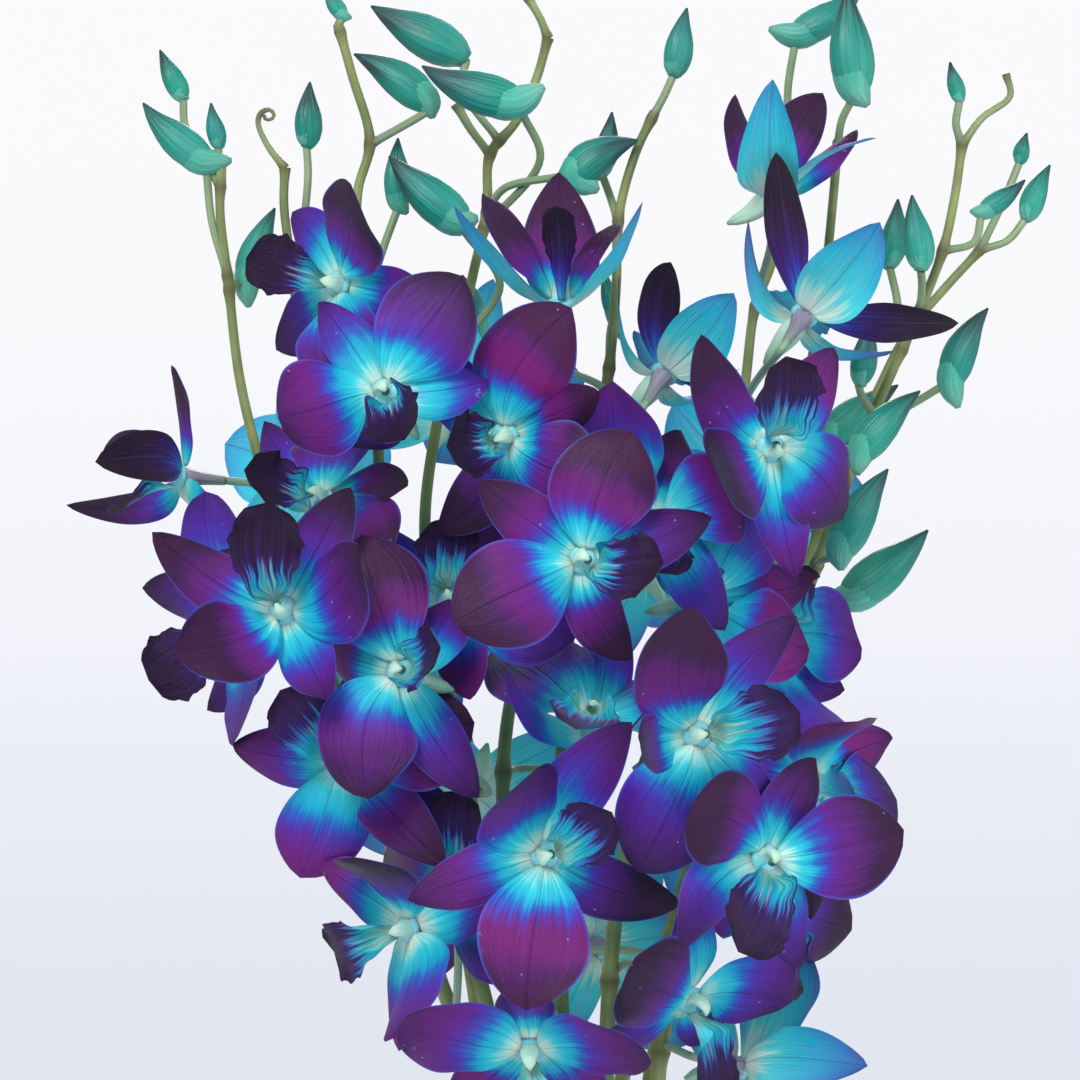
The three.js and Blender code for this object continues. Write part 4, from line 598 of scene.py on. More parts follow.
# %% [markdown]
# ## The lip
# The lip is the sixth blade, and the insect's landing place. Round the column it is mint and cyan, and its
# end is a ragged dark lobe. Between them the cyan breaks out in a burst of fine rays, which is the streaks
# group with a strong push on the ramp.
# %% Lip front
lip_front, tree, shader, place, along, side_way, rays, hairs, dark, _ = blade_skin(
    "lip_front", specular=0.3, vein_count=11.0, vein_stretch=0.8, hair_count=38.0, hair_stretch=3.0)
pace = calc(tree, "MULTIPLY_ADD", dark, 0.5, 0.7)
pushed = calc(tree, "MULTIPLY_ADD", rays, 0.3, along)
reach = reach_of_dye(tree, pushed, side_way, pace, start=-0.12, side_push=0.12)
lip_dye = ramp(tree, reach, [
    (0.0, "#e2f4e0"), (0.18, "#98ecde"), (0.34, "#22d0dc"), (0.47, "#06a6d2"), (0.54, "#4664c0"),
    (0.6, "#351a68"), (0.8, "#341148"), (1.0, "#260c34")])
from_keel = calc(tree, "ABSOLUTE", calc(tree, "SUBTRACT", side_way, 0.12))
keels = between(tree, from_keel, 0.0, 0.06, 1.0, 0.0)
keels = calc(tree, "MULTIPLY", keels, between(tree, along, 0.45, 0.6, 1.0, 0.0))
lip_dye = stained(tree, lip_dye, "#e6f3d8", keels, 0.5)
lip_dye = stained(tree, lip_dye, "#241038", hairs, 0.3, "MULTIPLY")
relief = calc(tree, "MULTIPLY_ADD", keels, 1.4, calc(tree, "MULTIPLY", hairs, 0.8))
dress(tree, shader, place, lip_dye, relief, depth=0.0003, grain_scale=1100.0, roughness=0.5,
      grain_share=0.2)

# %% [markdown]
# ## Column, chin and ovary, and the skins of buds and stems
# The column is waxy and pale mint, with a dark green cap over its pollen. The chin is the pale spur behind
# the lip, and the ovary is a lavender grey neck that turns green where it becomes the stalk. Buds are teal
# with darker ribs and a sooty point. They differ only in colours and in the count of their stripes, so one
# function makes them all.
# %% Waxy and striped skins
STRIPED_GRAIN = 800.0
FADED_MOST = 0.4
NARROW_TO_BROAD = 3.5


def striped_skin(name, stops, stripe, count, share, roughness, depth, stretch=1.0, wave=0.2, sooty=0.0):
    material, tree, shader, skin, marks, place = new_finish(name)
    along = put(tree, "ShaderNodeSeparateXYZ", {0: skin}).outputs[2]
    push, faded, seed = marks
    broad = use(tree, streaks, Skin=skin, Count=count, Stretch=stretch, Seed=seed)["Streak"]
    narrow = use(
        tree, streaks, Skin=skin, Count=count * NARROW_TO_BROAD, Stretch=stretch * 2, Seed=seed)["Streak"]
    pushed = calc(tree, "SUBTRACT", along, calc(tree, "MULTIPLY_ADD", push, sooty, wave / 2))
    reach = calc(tree, "MULTIPLY_ADD", broad, wave, pushed, clamp=True)
    colour = stained(tree, ramp(tree, reach, stops), stripe, faded, FADED_MOST)
    colour = stained(tree, colour, stripe, broad, share)
    colour = stained(tree, colour, stripe, narrow, share * 0.8, "MULTIPLY")
    relief = calc(tree, "MULTIPLY_ADD", narrow, 0.5, broad)
    dress(tree, shader, place, colour, relief, depth, STRIPED_GRAIN, roughness, grain_share=0.2)
    return material


column_skin = striped_skin(
    "column", [(0.0, "#a8e4e4"), (0.5, "#d2f0de"), (1.0, "#c6e6cc")],
    "#8fcfc0", count=1.6, share=0.25, roughness=0.35, depth=0.0001)
cap_skin = striped_skin(
    "anther_cap", [(0.0, "#2c6656"), (0.6, "#5c9a80"), (1.0, "#1f5247")],
    "#2a5a4a", count=1.2, share=0.3, roughness=0.4, depth=0.0001)
throat_skin = striped_skin(
    "throat", [(0.0, "#b6e8e4"), (1.0, "#8fe0e6")],
    "#49c6d8", count=2.0, share=0.35, roughness=0.42, depth=0.00012)
chin_skin = striped_skin(
    "chin", [(0.0, "#8fd6cf"), (0.35, "#cfe8d2"), (0.8, "#b9dcc0"), (1.0, "#8fc4a4")],
    "#7fbfae", count=1.8, share=0.3, roughness=0.45, depth=0.00015)
ovary_skin = striped_skin(
    "ovary", [(0.0, "#b9b4c4"), (0.4, "#9f96ae"), (1.0, "#93a58c")],
    "#6d6484", count=1.5, share=0.35, roughness=0.45, depth=0.00015)
bud_skin = striped_skin(
    "bud", [(0.0, "#1e2a2a"), (0.08, "#24443f"), (0.22, "#0b7a68"), (0.5, "#10a288"), (0.8, "#34b89c"),
            (1.0, "#6cc8ac")],
    "#0c7078", count=1.7, share=0.45, roughness=0.42, depth=0.00022, stretch=0.7, wave=0.3, sooty=0.22)
spur_skin = striped_skin(
    "spur", [(0.0, "#30b298"), (0.5, "#5cc6aa"), (1.0, "#90d0b6")],
    "#168a86", count=1.5, share=0.38, roughness=0.45, depth=0.0002)
print("skins made:", len(bpy.data.materials), "materials so far")

# %% Stem skin: olive green with brown rings where a stalk leaves
stem_skin, tree, shader, skin, marks, place = new_finish("stem", Sheen_Weight=0.05)
ringed, low, seed = marks
blotches = put(tree, "ShaderNodeTexNoise", {"Vector": place, "Scale": 70.0, "Detail": 3.0}).outputs[0]
stripes = use(tree, streaks, Skin=skin, Count=2.4, Stretch=0.03, Seed=seed)["Streak"]
stem_colour = ramp(tree, blotches, [(0.3, "#66794a"), (0.5, "#868f56"), (0.7, "#a0a96a")])
stem_colour = mixed(tree, low, stem_colour, paint("#8fb59a"))
stem_colour = stained(tree, stem_colour, "#4d6238", stripes, 0.35)
stem_colour = stained(tree, stem_colour, "#5a4a26", ringed, 0.75)
dress(tree, shader, place, stem_colour, stripes, depth=0.00018, grain_scale=700.0, roughness=0.42,
      grain_share=0.3)

# %% [markdown]
# ## The six blades of a bloom
# Two sepals and two petals spread to the sides, one sepal stands on top, and the lip hangs in front. Each
# blade leaves the heart at its usual angle and then bends until its end is on the pixel where the
# photograph shows it, so its middle line is a curve through a root, a knee and a tip. Its half width comes
# from an outline with a narrow claw, and its cross section is an arc.
# %% The usual blades and their outlines
BLADES = dict(
    sepal_top=dict(turn=0, length=38, width=16, lean=-4, bow=0.03, cup=-0.15, lift=-1, form="sepal"),
    petal_right=dict(turn=62, length=39, width=29, lean=7, bow=0.06, cup=-0.1, lift=1, form="petal"),
    sepal_right=dict(turn=128, length=37, width=17, lean=-6, bow=0.03, cup=-0.15, lift=-1, form="sepal"),
    lip=dict(turn=180, length=30, width=20, lean=42, bow=0.12, cup=0.45, lift=1.6, form="lip"),
    sepal_left=dict(turn=232, length=37, width=17, lean=-6, bow=0.03, cup=-0.15, lift=-1, form="sepal"),
    petal_left=dict(turn=298, length=39, width=29, lean=7, bow=0.06, cup=-0.1, lift=1, form="petal"),
)
OUTLINES = dict(
    sepal=dict(rise=0.75, fall=0.78, claw=0.24),
    petal=dict(rise=1.0, fall=0.72, claw=0.12),
    lip=dict(rise=1.15, fall=0.42, claw=0.2),
)
BLADE_ROOT = 3
BLADE_KNEE = 0.4
BEND_POWER = 1.4
SHORTEST = 0.86
LONGEST = 1.12
MOST_STRAY = 30
MOST_LEAN = 80
TURN_SPREAD = 0.08
LEAN_SPREAD = 0.12
SIZE_SPREAD = 0.05
TWIST_SPREAD = 0.25
SHORT_BLADE_EXTRA = 0.15
CLAW_FADE = 3
COLUMN_REACH = 7.5
COLUMN_DROOP = 1.5
OVARY_REACH = 13


def outline(form, u):
    rise, fall, claw = (OUTLINES[form][key] for key in ("rise", "fall", "claw"))
    peak = rise / (rise + fall)
    greatest = peak ** rise * (1 - peak) ** fall
    return u ** rise * (1 - u) ** fall / greatest + claw * (1 - u) ** CLAW_FADE


print("half width of a petal near its tip, as a share:", round(outline("petal", 0.9), 2))

# %% A repeatable draw, and the frame of a bloom
DRAW_STEP, DRAW_OFFSET, DRAW_RANGE = 1664525, 1013904223, 2 ** 32
drawn = 7


def draw():
    global drawn
    drawn = (drawn * DRAW_STEP + DRAW_OFFSET) % DRAW_RANGE
    return drawn / DRAW_RANGE * 2 - 1


def bloom_frame(bloom):
    right, up = (math.radians(angle) for angle in bloom["faces"])
    heart = seen(bloom["heart"], bloom["depth"])
    face = np.array([math.sin(right) * math.cos(up), -math.cos(right) * math.cos(up), math.sin(up)])
    across, down = bloom["heart"]
    roll = math.radians(bloom["roll"] or 0)
    aim = bloom["tips"].get("sepal_top")
    if aim:
        roll = math.atan2(aim[0] - across, down - aim[1])
    elif bloom["roll"] is None:
        name, pixel = next(iter(bloom["tips"].items()))
        mirrored = -1 if face[1] > 0 else 1
        roll = math.atan2(pixel[0] - across, down - pixel[1]) - mirrored * math.radians(BLADES[name]["turn"])
    top = np.array([math.sin(roll), 0, math.cos(roll)])
    top = unit(top - face * (top @ face))
    return dict(heart=heart, face=face, top=top, side=np.cross(top, face))


print("the first bloom faces", bloom_frame(BLOOMS[0])["face"].round(2))

# %% Where a blade ends: on its pixel's line of sight, and not too far from its usual angle
def turned_round(vector, axis, angle):
    return (vector * math.cos(angle) + np.cross(axis, vector) * math.sin(angle)
            + axis * (axis @ vector) * (1 - math.cos(angle)))


def blade_tip(spot, blade, pixel, usual, across):
    heart, face = spot["heart"], spot["face"]
    tip = heart + usual * blade["length"]
    if pixel:
        ray = (seen(pixel, 0) - EYE) / EYE_DISTANCE
        to_heart = heart - EYE
        nearest = ray @ to_heart / (ray @ ray)
        missed = to_heart @ to_heart - nearest ** 2 * (ray @ ray)
        least, most = (math.sqrt(max(0, (blade["length"] * reach) ** 2 - missed) / (ray @ ray))
                       for reach in (SHORTEST, LONGEST))
        wanted = tip[1] - EYE[1] - nearest
        offset = (-1 if wanted < 0 else 1) * min(max(abs(wanted), least), most)
        tip = EYE + ray * (nearest + offset)
    chord = tip - heart
    flat = chord - face * (chord @ face)
    stray = math.degrees(math.atan2(np.cross(flat, across) @ face, flat @ across))
    excess = stray - min(max(stray, -MOST_STRAY), MOST_STRAY)
    return heart + turned_round(chord, face, math.radians(excess))


def blade_lines(bloom, name):
    spot, blade, pixel = bloom["frame"], BLADES[name], bloom["tips"].get(name)
    stands = min(blade["lean"] + bloom["closed"], MOST_LEAN)
    turn = math.radians(blade["turn"]) + (0 if pixel else TURN_SPREAD * draw())
    lean = math.radians(stands) + (0 if pixel else LEAN_SPREAD * draw())
    size = bloom["widths"].get(name, 1) * (1 + SIZE_SPREAD * draw())
    twist = TWIST_SPREAD * draw()
    across = spot["top"] * math.cos(turn) + spot["side"] * math.sin(turn)
    usual = across * math.cos(lean) + spot["face"] * math.sin(lean)
    tip = blade_tip(spot, blade, pixel, usual, across)
    root = spot["heart"] + across * BLADE_ROOT + spot["face"] * blade["lift"]
    length = np.linalg.norm(tip - root)
    half = blade["width"] / 2 * size * min(1, length / blade["length"] + SHORT_BLADE_EXTRA)
    return dict(blade=blade, name=name, root=root, tip=tip, usual=usual, length=length, half=half,
                twist=twist, knee=root + usual * BLADE_KNEE * length,
                front=unit(spot["face"] - usual * (spot["face"] @ usual)))


for bloom in BLOOMS:
    bloom["frame"] = bloom_frame(bloom)
    bloom["blades"] = [blade_lines(bloom, name) for name in BLADES]
print("lines laid for", sum(len(bloom["blades"]) for bloom in BLOOMS), "blades")

# %% [markdown]
# ## How far each part has moved in depth
# Where parts lie over each other in the view, the solids slid them apart along the line of sight: a bloom
# as a whole, and each blade by bending. A corner that slid is still seen at the same pixel, so the same
# corner is found in the solid by how it looks from the eye, and its new depth says how far it went.
# %% Finding a corner of a solid by how it is seen
def corners_of(name):
    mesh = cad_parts[name].data
    flat = np.zeros(len(mesh.vertices) * 3, np.float32)
    mesh.vertices.foreach_get("co", flat)
    points = flat.reshape(-1, 3).astype(float) / MM
    return points, view_of(points)


def depth_gained(corners, point):
    points, views = corners
    miss = np.linalg.norm(views - view_of(point), axis=1)
    nearest = miss.argmin()
    return points[nearest, 1] - point[1], miss[nearest]


worst = 0
for i, bloom in enumerate(BLOOMS):
    bloom["name"] = f"bloom_{i + 1:02d}"
    corners = corners_of(bloom["name"])
    spot = bloom["frame"]
    column = spot["heart"] + spot["face"] * COLUMN_REACH - spot["top"] * COLUMN_DROOP
    bloom["shift"], miss = depth_gained(corners, column)
    worst = max(worst, miss)
    for blade in bloom["blades"]:
        moved, miss = depth_gained(corners, blade["tip"])
        blade["bent"] = moved - bloom["shift"]
        worst = max(worst, miss)
print("largest miss in the view:", round(worst, 4), "mm; shifts from",
      round(min(b["shift"] for b in BLOOMS), 1), "to", round(max(b["shift"] for b in BLOOMS), 1))

# %% [markdown]
# ## A blade as a fine closed sheet
# Rows run from claw to tip and columns across. Each row is an arc whose angle comes from the blade's cup,
# with a ripple that grows towards the edges. Each blade draws how far it folds, sways and curls. The lip's
# rows close up round the column, two side lobes widen it there, and its far edge is ragged. Front and back
# share the edge and stand 0.64 mm apart in the middle, so that the sheet is closed.
# %% Blade sheets
ROWS = 26
COLUMNS = 13
HALF_THICKNESS = 0.32
FOLD_SPREAD = 0.35
RIPPLE = 0.06
EDGE_SKEW = 0.09
HOOK = 0.1
SWAY = 0.16
LIP_LOBES_AT = 0.27
LIP_RIPPLE = 0.09
LIP_RAGGED_FROM = 0.4
FRONT, BACK, LIP, COLUMN, CAP, THROAT, CHIN, OVARY = range(8)
FINISHES = [petal_front, petal_back, lip_front, column_skin, cap_skin, throat_skin, chin_skin, ovary_skin]


def blade_points(lines, random):
    blade = lines["blade"]
    form = blade["form"]
    u = np.linspace(0, 1, ROWS + 1)
    v = np.linspace(-1, 1, COLUMNS)
    low = lines["root"] + (lines["knee"] - lines["root"]) * u[:, None]
    leg = lines["knee"] + (lines["tip"] - lines["knee"]) * u[:, None]
    middle = low + (leg - low) * u[:, None]
    ahead = unit(leg - low)
    turn = np.cross(lines["usual"], ahead)
    level = ahead @ lines["usual"]
    front = lines["front"] * level[:, None] + np.cross(turn, lines["front"])
    front = front + turn * ((turn @ lines["front"]) / (1 + level))[:, None]
    right = np.cross(ahead, front)
    half = lines["half"] * outline(form, u)
    phase, other = random.uniform(0, 2 * math.pi, 2)
    skew, fold, hook = random.uniform(-1, 1, 3)
    cup = np.full(ROWS + 1, 2.0 * blade["cup"]) + FOLD_SPREAD * fold
    waves = np.sin(2.1 * math.pi * u + phase) + 0.5 * np.sin(5 * math.pi * u + other)
    ripple = RIPPLE * lines["half"] * waves
    edge = np.ones((ROWS + 1, COLUMNS)) + EDGE_SKEW * skew * v[None, :] * np.sin(2 * math.pi * u[:, None])
    if form == "lip":
        cup = 2.0 * np.exp(-((u - 0.26) / 0.18) ** 2) + 0.6 * u
        half = half * (1 + 0.85 * np.exp(-((u - LIP_LOBES_AT) / 0.1) ** 2))
        ragged = 0.05 * np.sin(31 * u + phase) + 0.035 * np.sin(53 * u + other)
        edge = 1 + (np.abs(v) ** 6)[None, :] * (ragged * (u > LIP_RAGGED_FROM))[:, None]
        ripple = LIP_RIPPLE * lines["half"] * np.sin(7 * math.pi * u + phase) * u
    angle = cup[:, None] * v[None, :] * edge
    safe = np.where(np.abs(cup) < 1e-3, 1e-3, cup)[:, None]
    sideways = half[:, None] * np.sin(angle) / safe
    forwards = half[:, None] * (1 - np.cos(angle)) / safe
    forwards = forwards + np.sign(v) * np.abs(v) ** 2.5 * ripple[:, None]
    forwards = forwards + np.abs(v) ** 3 * HOOK * half[:, None] * hook * np.sin(math.pi * u[:, None])
    tilt = lines["twist"] * u[:, None]
    bow = blade["bow"] * lines["length"] * 4 * u * (1 - u)
    points = middle[:, None] + front[:, None] * bow[:, None, None]
    sway = SWAY * skew * lines["half"] * np.sin(math.pi * u) * u
    points = points + right[:, None] * sway[:, None, None]
    points = points + right[:, None] * (np.cos(tilt) * sideways - np.sin(tilt) * forwards)[..., None]
    points = points + front[:, None] * (np.sin(tilt) * sideways + np.cos(tilt) * forwards)[..., None]
    return u, v, points


def add_blade(shells, lines, shift, marks, random):
    u, v, sheet = blade_points(lines, random)
    sheet = slid(sheet, shift + (u ** BEND_POWER * lines["bent"])[:, None])
    sheet[-1] = sheet[-1].mean(axis=0)
    along = np.gradient(sheet, axis=0)
    over = np.gradient(sheet, axis=1)
    normal = np.cross(over, along)
    size = np.linalg.norm(normal, axis=-1, keepdims=True)
    normal = normal / np.maximum(size, 1e-9)
    thick = HALF_THICKNESS * np.sqrt(1 - v ** 2)[None, :, None] * (1 - 0.5 * u[:, None, None])
    front = sheet + normal * thick
    back = sheet - normal * thick
    rows, wide = ROWS, COLUMNS
    count = rows * wide
    tip = 2 * count
    points = np.vstack([front[:-1].reshape(-1, 3), back[:-1].reshape(-1, 3), sheet[-1, :1]])
    skin = np.zeros((rows, wide, 3))
    skin[..., 0] = v
    skin[..., 2] = u[:-1, None]
    skin = np.vstack([skin.reshape(-1, 3)] * 2 + [[0, 0, 1]])
    number = np.arange(2 * count + 1)
    edge = [i * wide + k for i in range(rows) for k in (0, wide - 1)]
    number[[count + k for k in edge]] = edge
    faces, finishes = [], []
    top_finish = LIP if lines["name"] == "lip" else FRONT
    for i in range(rows - 1):
        for k in range(wide - 1):
            a, b = i * wide + k, (i + 1) * wide + k
            faces.append((a, a + 1, b + 1, b))
            faces.append(tuple(number[[count + a, count + b, count + b + 1, count + a + 1]]))
            finishes += [top_finish, BACK]
    last = (rows - 1) * wide
    for k in range(wide - 1):
        faces.append((last + k, last + k + 1, tip))
        faces.append(tuple(number[[count + last + k, tip, count + last + k + 1]]))
        finishes += [top_finish, BACK]
        faces.append(tuple(number[[k, count + k, count + k + 1, k + 1]]))
        finishes.append(BACK)
    faces = [tuple(dict.fromkeys(int(x) for x in face)) for face in faces]
    kept = sorted({x for face in faces for x in face})
    fresh = {old: new for new, old in enumerate(kept)}
    rim = np.zeros(2 * count + 1, bool)
    rim[edge] = True
    rim[tip] = True
    shells.add(points[kept], [tuple(fresh[x] for x in face) for face in faces], finishes,
               skin[kept], marks, rim[kept])


print("a blade sheet has", 4 * ROWS * (COLUMNS - 1), "triangles")

# %% [markdown]
# ## The heart of a bloom
# In the middle stands the column, the fused stamen and stigma, with the anther cap at its end. Behind the
# heart the ovary narrows into the stalk, and under it the chin reaches back like a blunt spur.
# %% Column, cap, throat, chin and ovary
def curve_through(points, steps):
    points = np.asarray(points, float)
    padded = np.vstack([2 * points[0] - points[1], points, 2 * points[-1] - points[-2]])
    knots = np.concatenate([[0], np.cumsum(np.linalg.norm(np.diff(padded, axis=0), axis=1) ** 0.5)])
    made = []
    for i in range(1, len(padded) - 2):
        p, t = padded[i - 1:i + 3], knots[i - 1:i + 3]
        for s in np.linspace(t[1], t[2], 24, endpoint=i == len(padded) - 3):
            a = [p[k] * (t[k + 1] - s) / (t[k + 1] - t[k]) + p[k + 1] * (s - t[k]) / (t[k + 1] - t[k])
                 for k in range(3)]
            b = [a[k] * (t[k + 2] - s) / (t[k + 2] - t[k]) + a[k + 1] * (s - t[k]) / (t[k + 2] - t[k])
                 for k in range(2)]
            made.append(b[0] * (t[2] - s) / (t[2] - t[1]) + b[1] * (s - t[1]) / (t[2] - t[1]))
    made = np.array(made)
    length = np.concatenate([[0], np.cumsum(np.linalg.norm(np.diff(made, axis=0), axis=1))])
    even = np.linspace(0, length[-1], steps + 1)
    return np.column_stack([np.interp(even, length, made[:, k]) for k in range(3)])


def eased(values, steps):
    places = np.linspace(0, 1, len(values))
    return np.interp(np.linspace(0, 1, steps + 1), places, values)


def add_tube(shells, route, steps, wide, deep, *rest):
    add_round(shells, curve_through(route, steps), eased(wide, steps), eased(deep, steps), *rest)


def add_heart(shells, bloom, marks):
    spot = bloom["frame"]
    top = spot["top"]

    def at(ahead, up):
        return slid(spot["heart"] + spot["face"] * ahead + top * up, bloom["shift"])

    add_tube(shells, [at(-1, 0.4), at(2.2, 1.5), at(4.6, 1.6), at(6.4, 0.5), at(6.8, -0.9)], 14,
             [2.2, 1.8, 1.2, 1.1, 0.9, 0.3], [2.6, 2.7, 2.5, 2.3, 1.7, 0.4],
             COLUMN, marks, 16, top, lambda s, a: 1 + 0.1 * np.cos(2 * a) * s)
    add_tube(shells, [at(4.6, -0.2), at(5.8, -0.8), at(6.7, -1.2)], 6,
             [0.4, 1.0, 1.2, 0.9, 0.2], [0.4, 1.1, 1.3, 1.0, 0.2], CAP, marks, 12, top)
    disc = [0.8, 3.2, 4.0, 3.0, 0.8]
    add_round(shells, [at(-1.6, 0), at(-0.9, 0), at(0, 0), at(0.8, 0), at(1.3, 0)], disc, disc,
              THROAT, marks, 16, top)
    add_tube(shells, [at(-0.5, -1.5), at(-3.5, -4), at(-6.5, -8), at(-9, -14.6)], 12,
             [1.8, 3.4, 3.3, 2.9, 2.3, 1.7, 0.5], [2.0, 3.4, 3.0, 2.5, 2.0, 1.5, 0.5],
             CHIN, marks, 14, spot["side"])
    neck = [3.0, 2.6, 2.0, 1.7, 1.5, 1.3]
    add_tube(shells, [at(-0.4, 0), at(-5, 0), at(-OVARY_REACH - 0.6, 0)], 12, neck, neck,
             OVARY, marks, 12, top, lambda s, a: 1 + 0.06 * np.cos(6 * a))


print("a width that rises and falls, in five steps:", eased([0, 1, 0], 4))

# %% [markdown]
# ## How dark and how warm each blade is
# Most blades take their marks from a seeded draw. The ones that stand out in the photograph are named here
# by their bloom's number, each with how dark and how warm it is. DYED is for those dyed right through.
# %% Marks of the blades
DYED = 1.6
TONES = {
    1: dict(sepal_top=(0.2, 0.1), petal_right=(0.55, 0.2), petal_left=(0.4, 0.6), sepal_right=(0.1, 0.1),
            lip=(1.0, 0.4)),
    2: dict(petal_left=(0.75, 1.0), sepal_top=(0.8, 0.8), petal_right=(0.7, 0.5), lip=(0.9, 0.5)),
    3: dict(petal_right=(0.85, 0.7), petal_left=(0.75, 0.6), sepal_right=(0.4, 0.3), lip=(0.6, 0.5)),
    4: dict(petal_right=(0.95, 0.5), petal_left=(0.5, 0.3), lip=(1.0, 0.8), sepal_right=(0.7, 0.5)),
    5: dict(petal_right=(0.9, 0.8), sepal_left=(0.4, 0.2), petal_left=(0.5, 0.4)),
    7: dict(petal_right=(0.4, 0.4), petal_left=(0.6, 0.9), sepal_top=(0.45, 0.5)),
    8: dict(petal_right=(0.9, 0.6), petal_left=(0.35, 0.1), sepal_left=(0.35, 0.1), sepal_right=(0.4, 0.2)),
    9: dict(petal_left=(1.0, 0.5), petal_right=(0.7, 0.4), sepal_left=(0.3, 0.1), sepal_right=(0.25, 0.1)),
    12: dict(petal_right=(0.95, 0.4), sepal_right=(0.8, 0.4), petal_left=(0.5, 0.2)),
    13: dict(sepal_top=(0.3, 0.0), petal_left=(DYED, 0.5), petal_right=(DYED, 0.6), sepal_left=(0.6, 0.1),
             sepal_right=(0.7, 0.1)),
    14: dict(sepal_top=(0.6, 0.4), petal_right=(0.25, 0.1), sepal_right=(0.15, 0.1), sepal_left=(0.95, 0.4),
             petal_left=(0.95, 0.4)),
    15: dict(sepal_top=(0.25, 0.1), petal_left=(DYED, 0.4), petal_right=(DYED, 0.4), sepal_left=(0.4, 0.1),
             sepal_right=(0.3, 0.1)),
    16: dict(sepal_top=(0.75, 0.7), petal_right=(DYED, 0.4), sepal_right=(0.3, 0.1), lip=(DYED, 0.7),
             sepal_left=(0.35, 0.1), petal_left=(DYED, 0.4)),
    17: dict(petal_left=(0.95, 0.3), lip=(0.95, 0.3), petal_right=(0.6, 0.3), sepal_top=(0.5, 0.3)),
    18: dict(sepal_top=(DYED, 0.2), petal_right=(DYED, 0.3), sepal_right=(0.4, 0.1), lip=(1.0, 0.3),
             sepal_left=(0.8, 0.1), petal_left=(DYED, 0.3)),
    19: dict(petal_left=(0.9, 0.3), sepal_right=(DYED, 0.3), lip=(1.0, 0.3), sepal_left=(0.3, 0.1)),
}


def marks_of(number, name, random):
    usual = (random.uniform(0.1, 0.85), random.uniform(0, 1) ** 1.5)
    dark, warm = TONES.get(number, {}).get(name, usual)
    return [dark, warm, random.uniform(0, 9)]


print("blades with a tone of their own:", sum(len(tones) for tones in TONES.values()))

# %% Making and placing the blooms
BLOOM_SEED = 300
made_blooms = []
for i, bloom in enumerate(BLOOMS):
    random = np.random.default_rng(BLOOM_SEED + i)
    shells = Shells()
    for lines in bloom["blades"]:
        add_blade(shells, lines, bloom["shift"], marks_of(i + 1, lines["name"], random), random)
    add_heart(shells, bloom, [0.0, 0.2, i * 0.37])
    piece = shells.piece(f"{bloom['name']}_petals", FINISHES)
    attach(piece, "root")
    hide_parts(bloom["name"])
    made_blooms.append(piece)
print("blooms:", len(made_blooms), "pieces of", len(made_blooms[0].data.polygons), "faces each")

# %% [markdown]
# ## Stems and stalks
# Every stem, twig and stalk is a line with a thickness, which is what Geometry Nodes does well. The lines
# of a spray are one mesh of edges. Its points carry the thickness and how near a joint is. The tree turns
# the edges into curves, swells them at the joints, and sweeps a circle along them. The circle's own points
# give the way round, so that stripes follow the stem.
# %% Lines of a spray, as points with a thickness
VASE_RADIUS, VASE_HEIGHT, VASE_WALL, VASE_BASE = 50, 200, 3.5, 10
WATER_LEVEL, FIT_GAP = 125, 0.3
STEM_RADIUS_LOW, STEM_RADIUS_TOP, PEDICEL_RADIUS = 2.3, 1.3, 1.15
MOUTH_Z = VASE_HEIGHT - 6
FOOT_SPREAD = 0.93
STEM_STEPS, FOOT_STEPS, STALK_STEPS, PEDICEL_STEPS = 150, 40, 24, 30
STEM_SIDES = 12
DEPTH_EASES_FROM = 0.3
TWIG_PALE, BUD_STALK_PALE, PEDICEL_PALE = 0.2, 0.45, 0.8


def smoothed(value, low, high):
    share = np.clip((value - low) / (high - low), 0, 1)
    return share * share * (3 - 2 * share)


for key, spray in SPRAYS.items():
    count = len(spray["route"])
    depth, mouth = spray["depth"], spray["mouth"]
    above = [seen(pixel, depth + (mouth[1] - depth) * smoothed(i / (count - 1), DEPTH_EASES_FROM, 1))
             for i, pixel in enumerate(spray["route"])]
    foot = [mouth[0] * FOOT_SPREAD, mouth[1] * FOOT_SPREAD, VASE_BASE + FIT_GAP + 0.2]
    upper = curve_through([*above, [*mouth, MOUTH_Z]], STEM_STEPS)
    spray["name"] = f"spray_stem_{key:02d}"
    spray["line"] = np.vstack([upper, np.linspace(upper[-1], foot, FOOT_STEPS)[1:]])
    height = smoothed(spray["line"][:, 2], VASE_HEIGHT, above[0][2])
    spray["radii"] = STEM_RADIUS_LOW + (STEM_RADIUS_TOP - STEM_RADIUS_LOW) * height
    spray["lines"] = [(spray["line"], spray["radii"], 0.0)]
    spray["joints"] = []
print("stems laid:", ", ".join(spray["name"] for spray in SPRAYS.values()))

# %% Twigs, and the stalks of blooms and buds
def on_stem(spray, pixel):
    wanted = view_of(seen(pixel, 0))
    miss = np.linalg.norm(view_of(spray["line"]) - wanted, axis=1)
    return spray["line"][miss.argmin()]


def depth_near(corners, point, within, most=25):
    points, views = corners
    near = np.linalg.norm(views - view_of(point), axis=1) < within
    gains = points[near, 1] - point[1]
    gains = gains[np.abs(gains) < most]
    return float(np.median(gains)) if len(gains) else 0.0


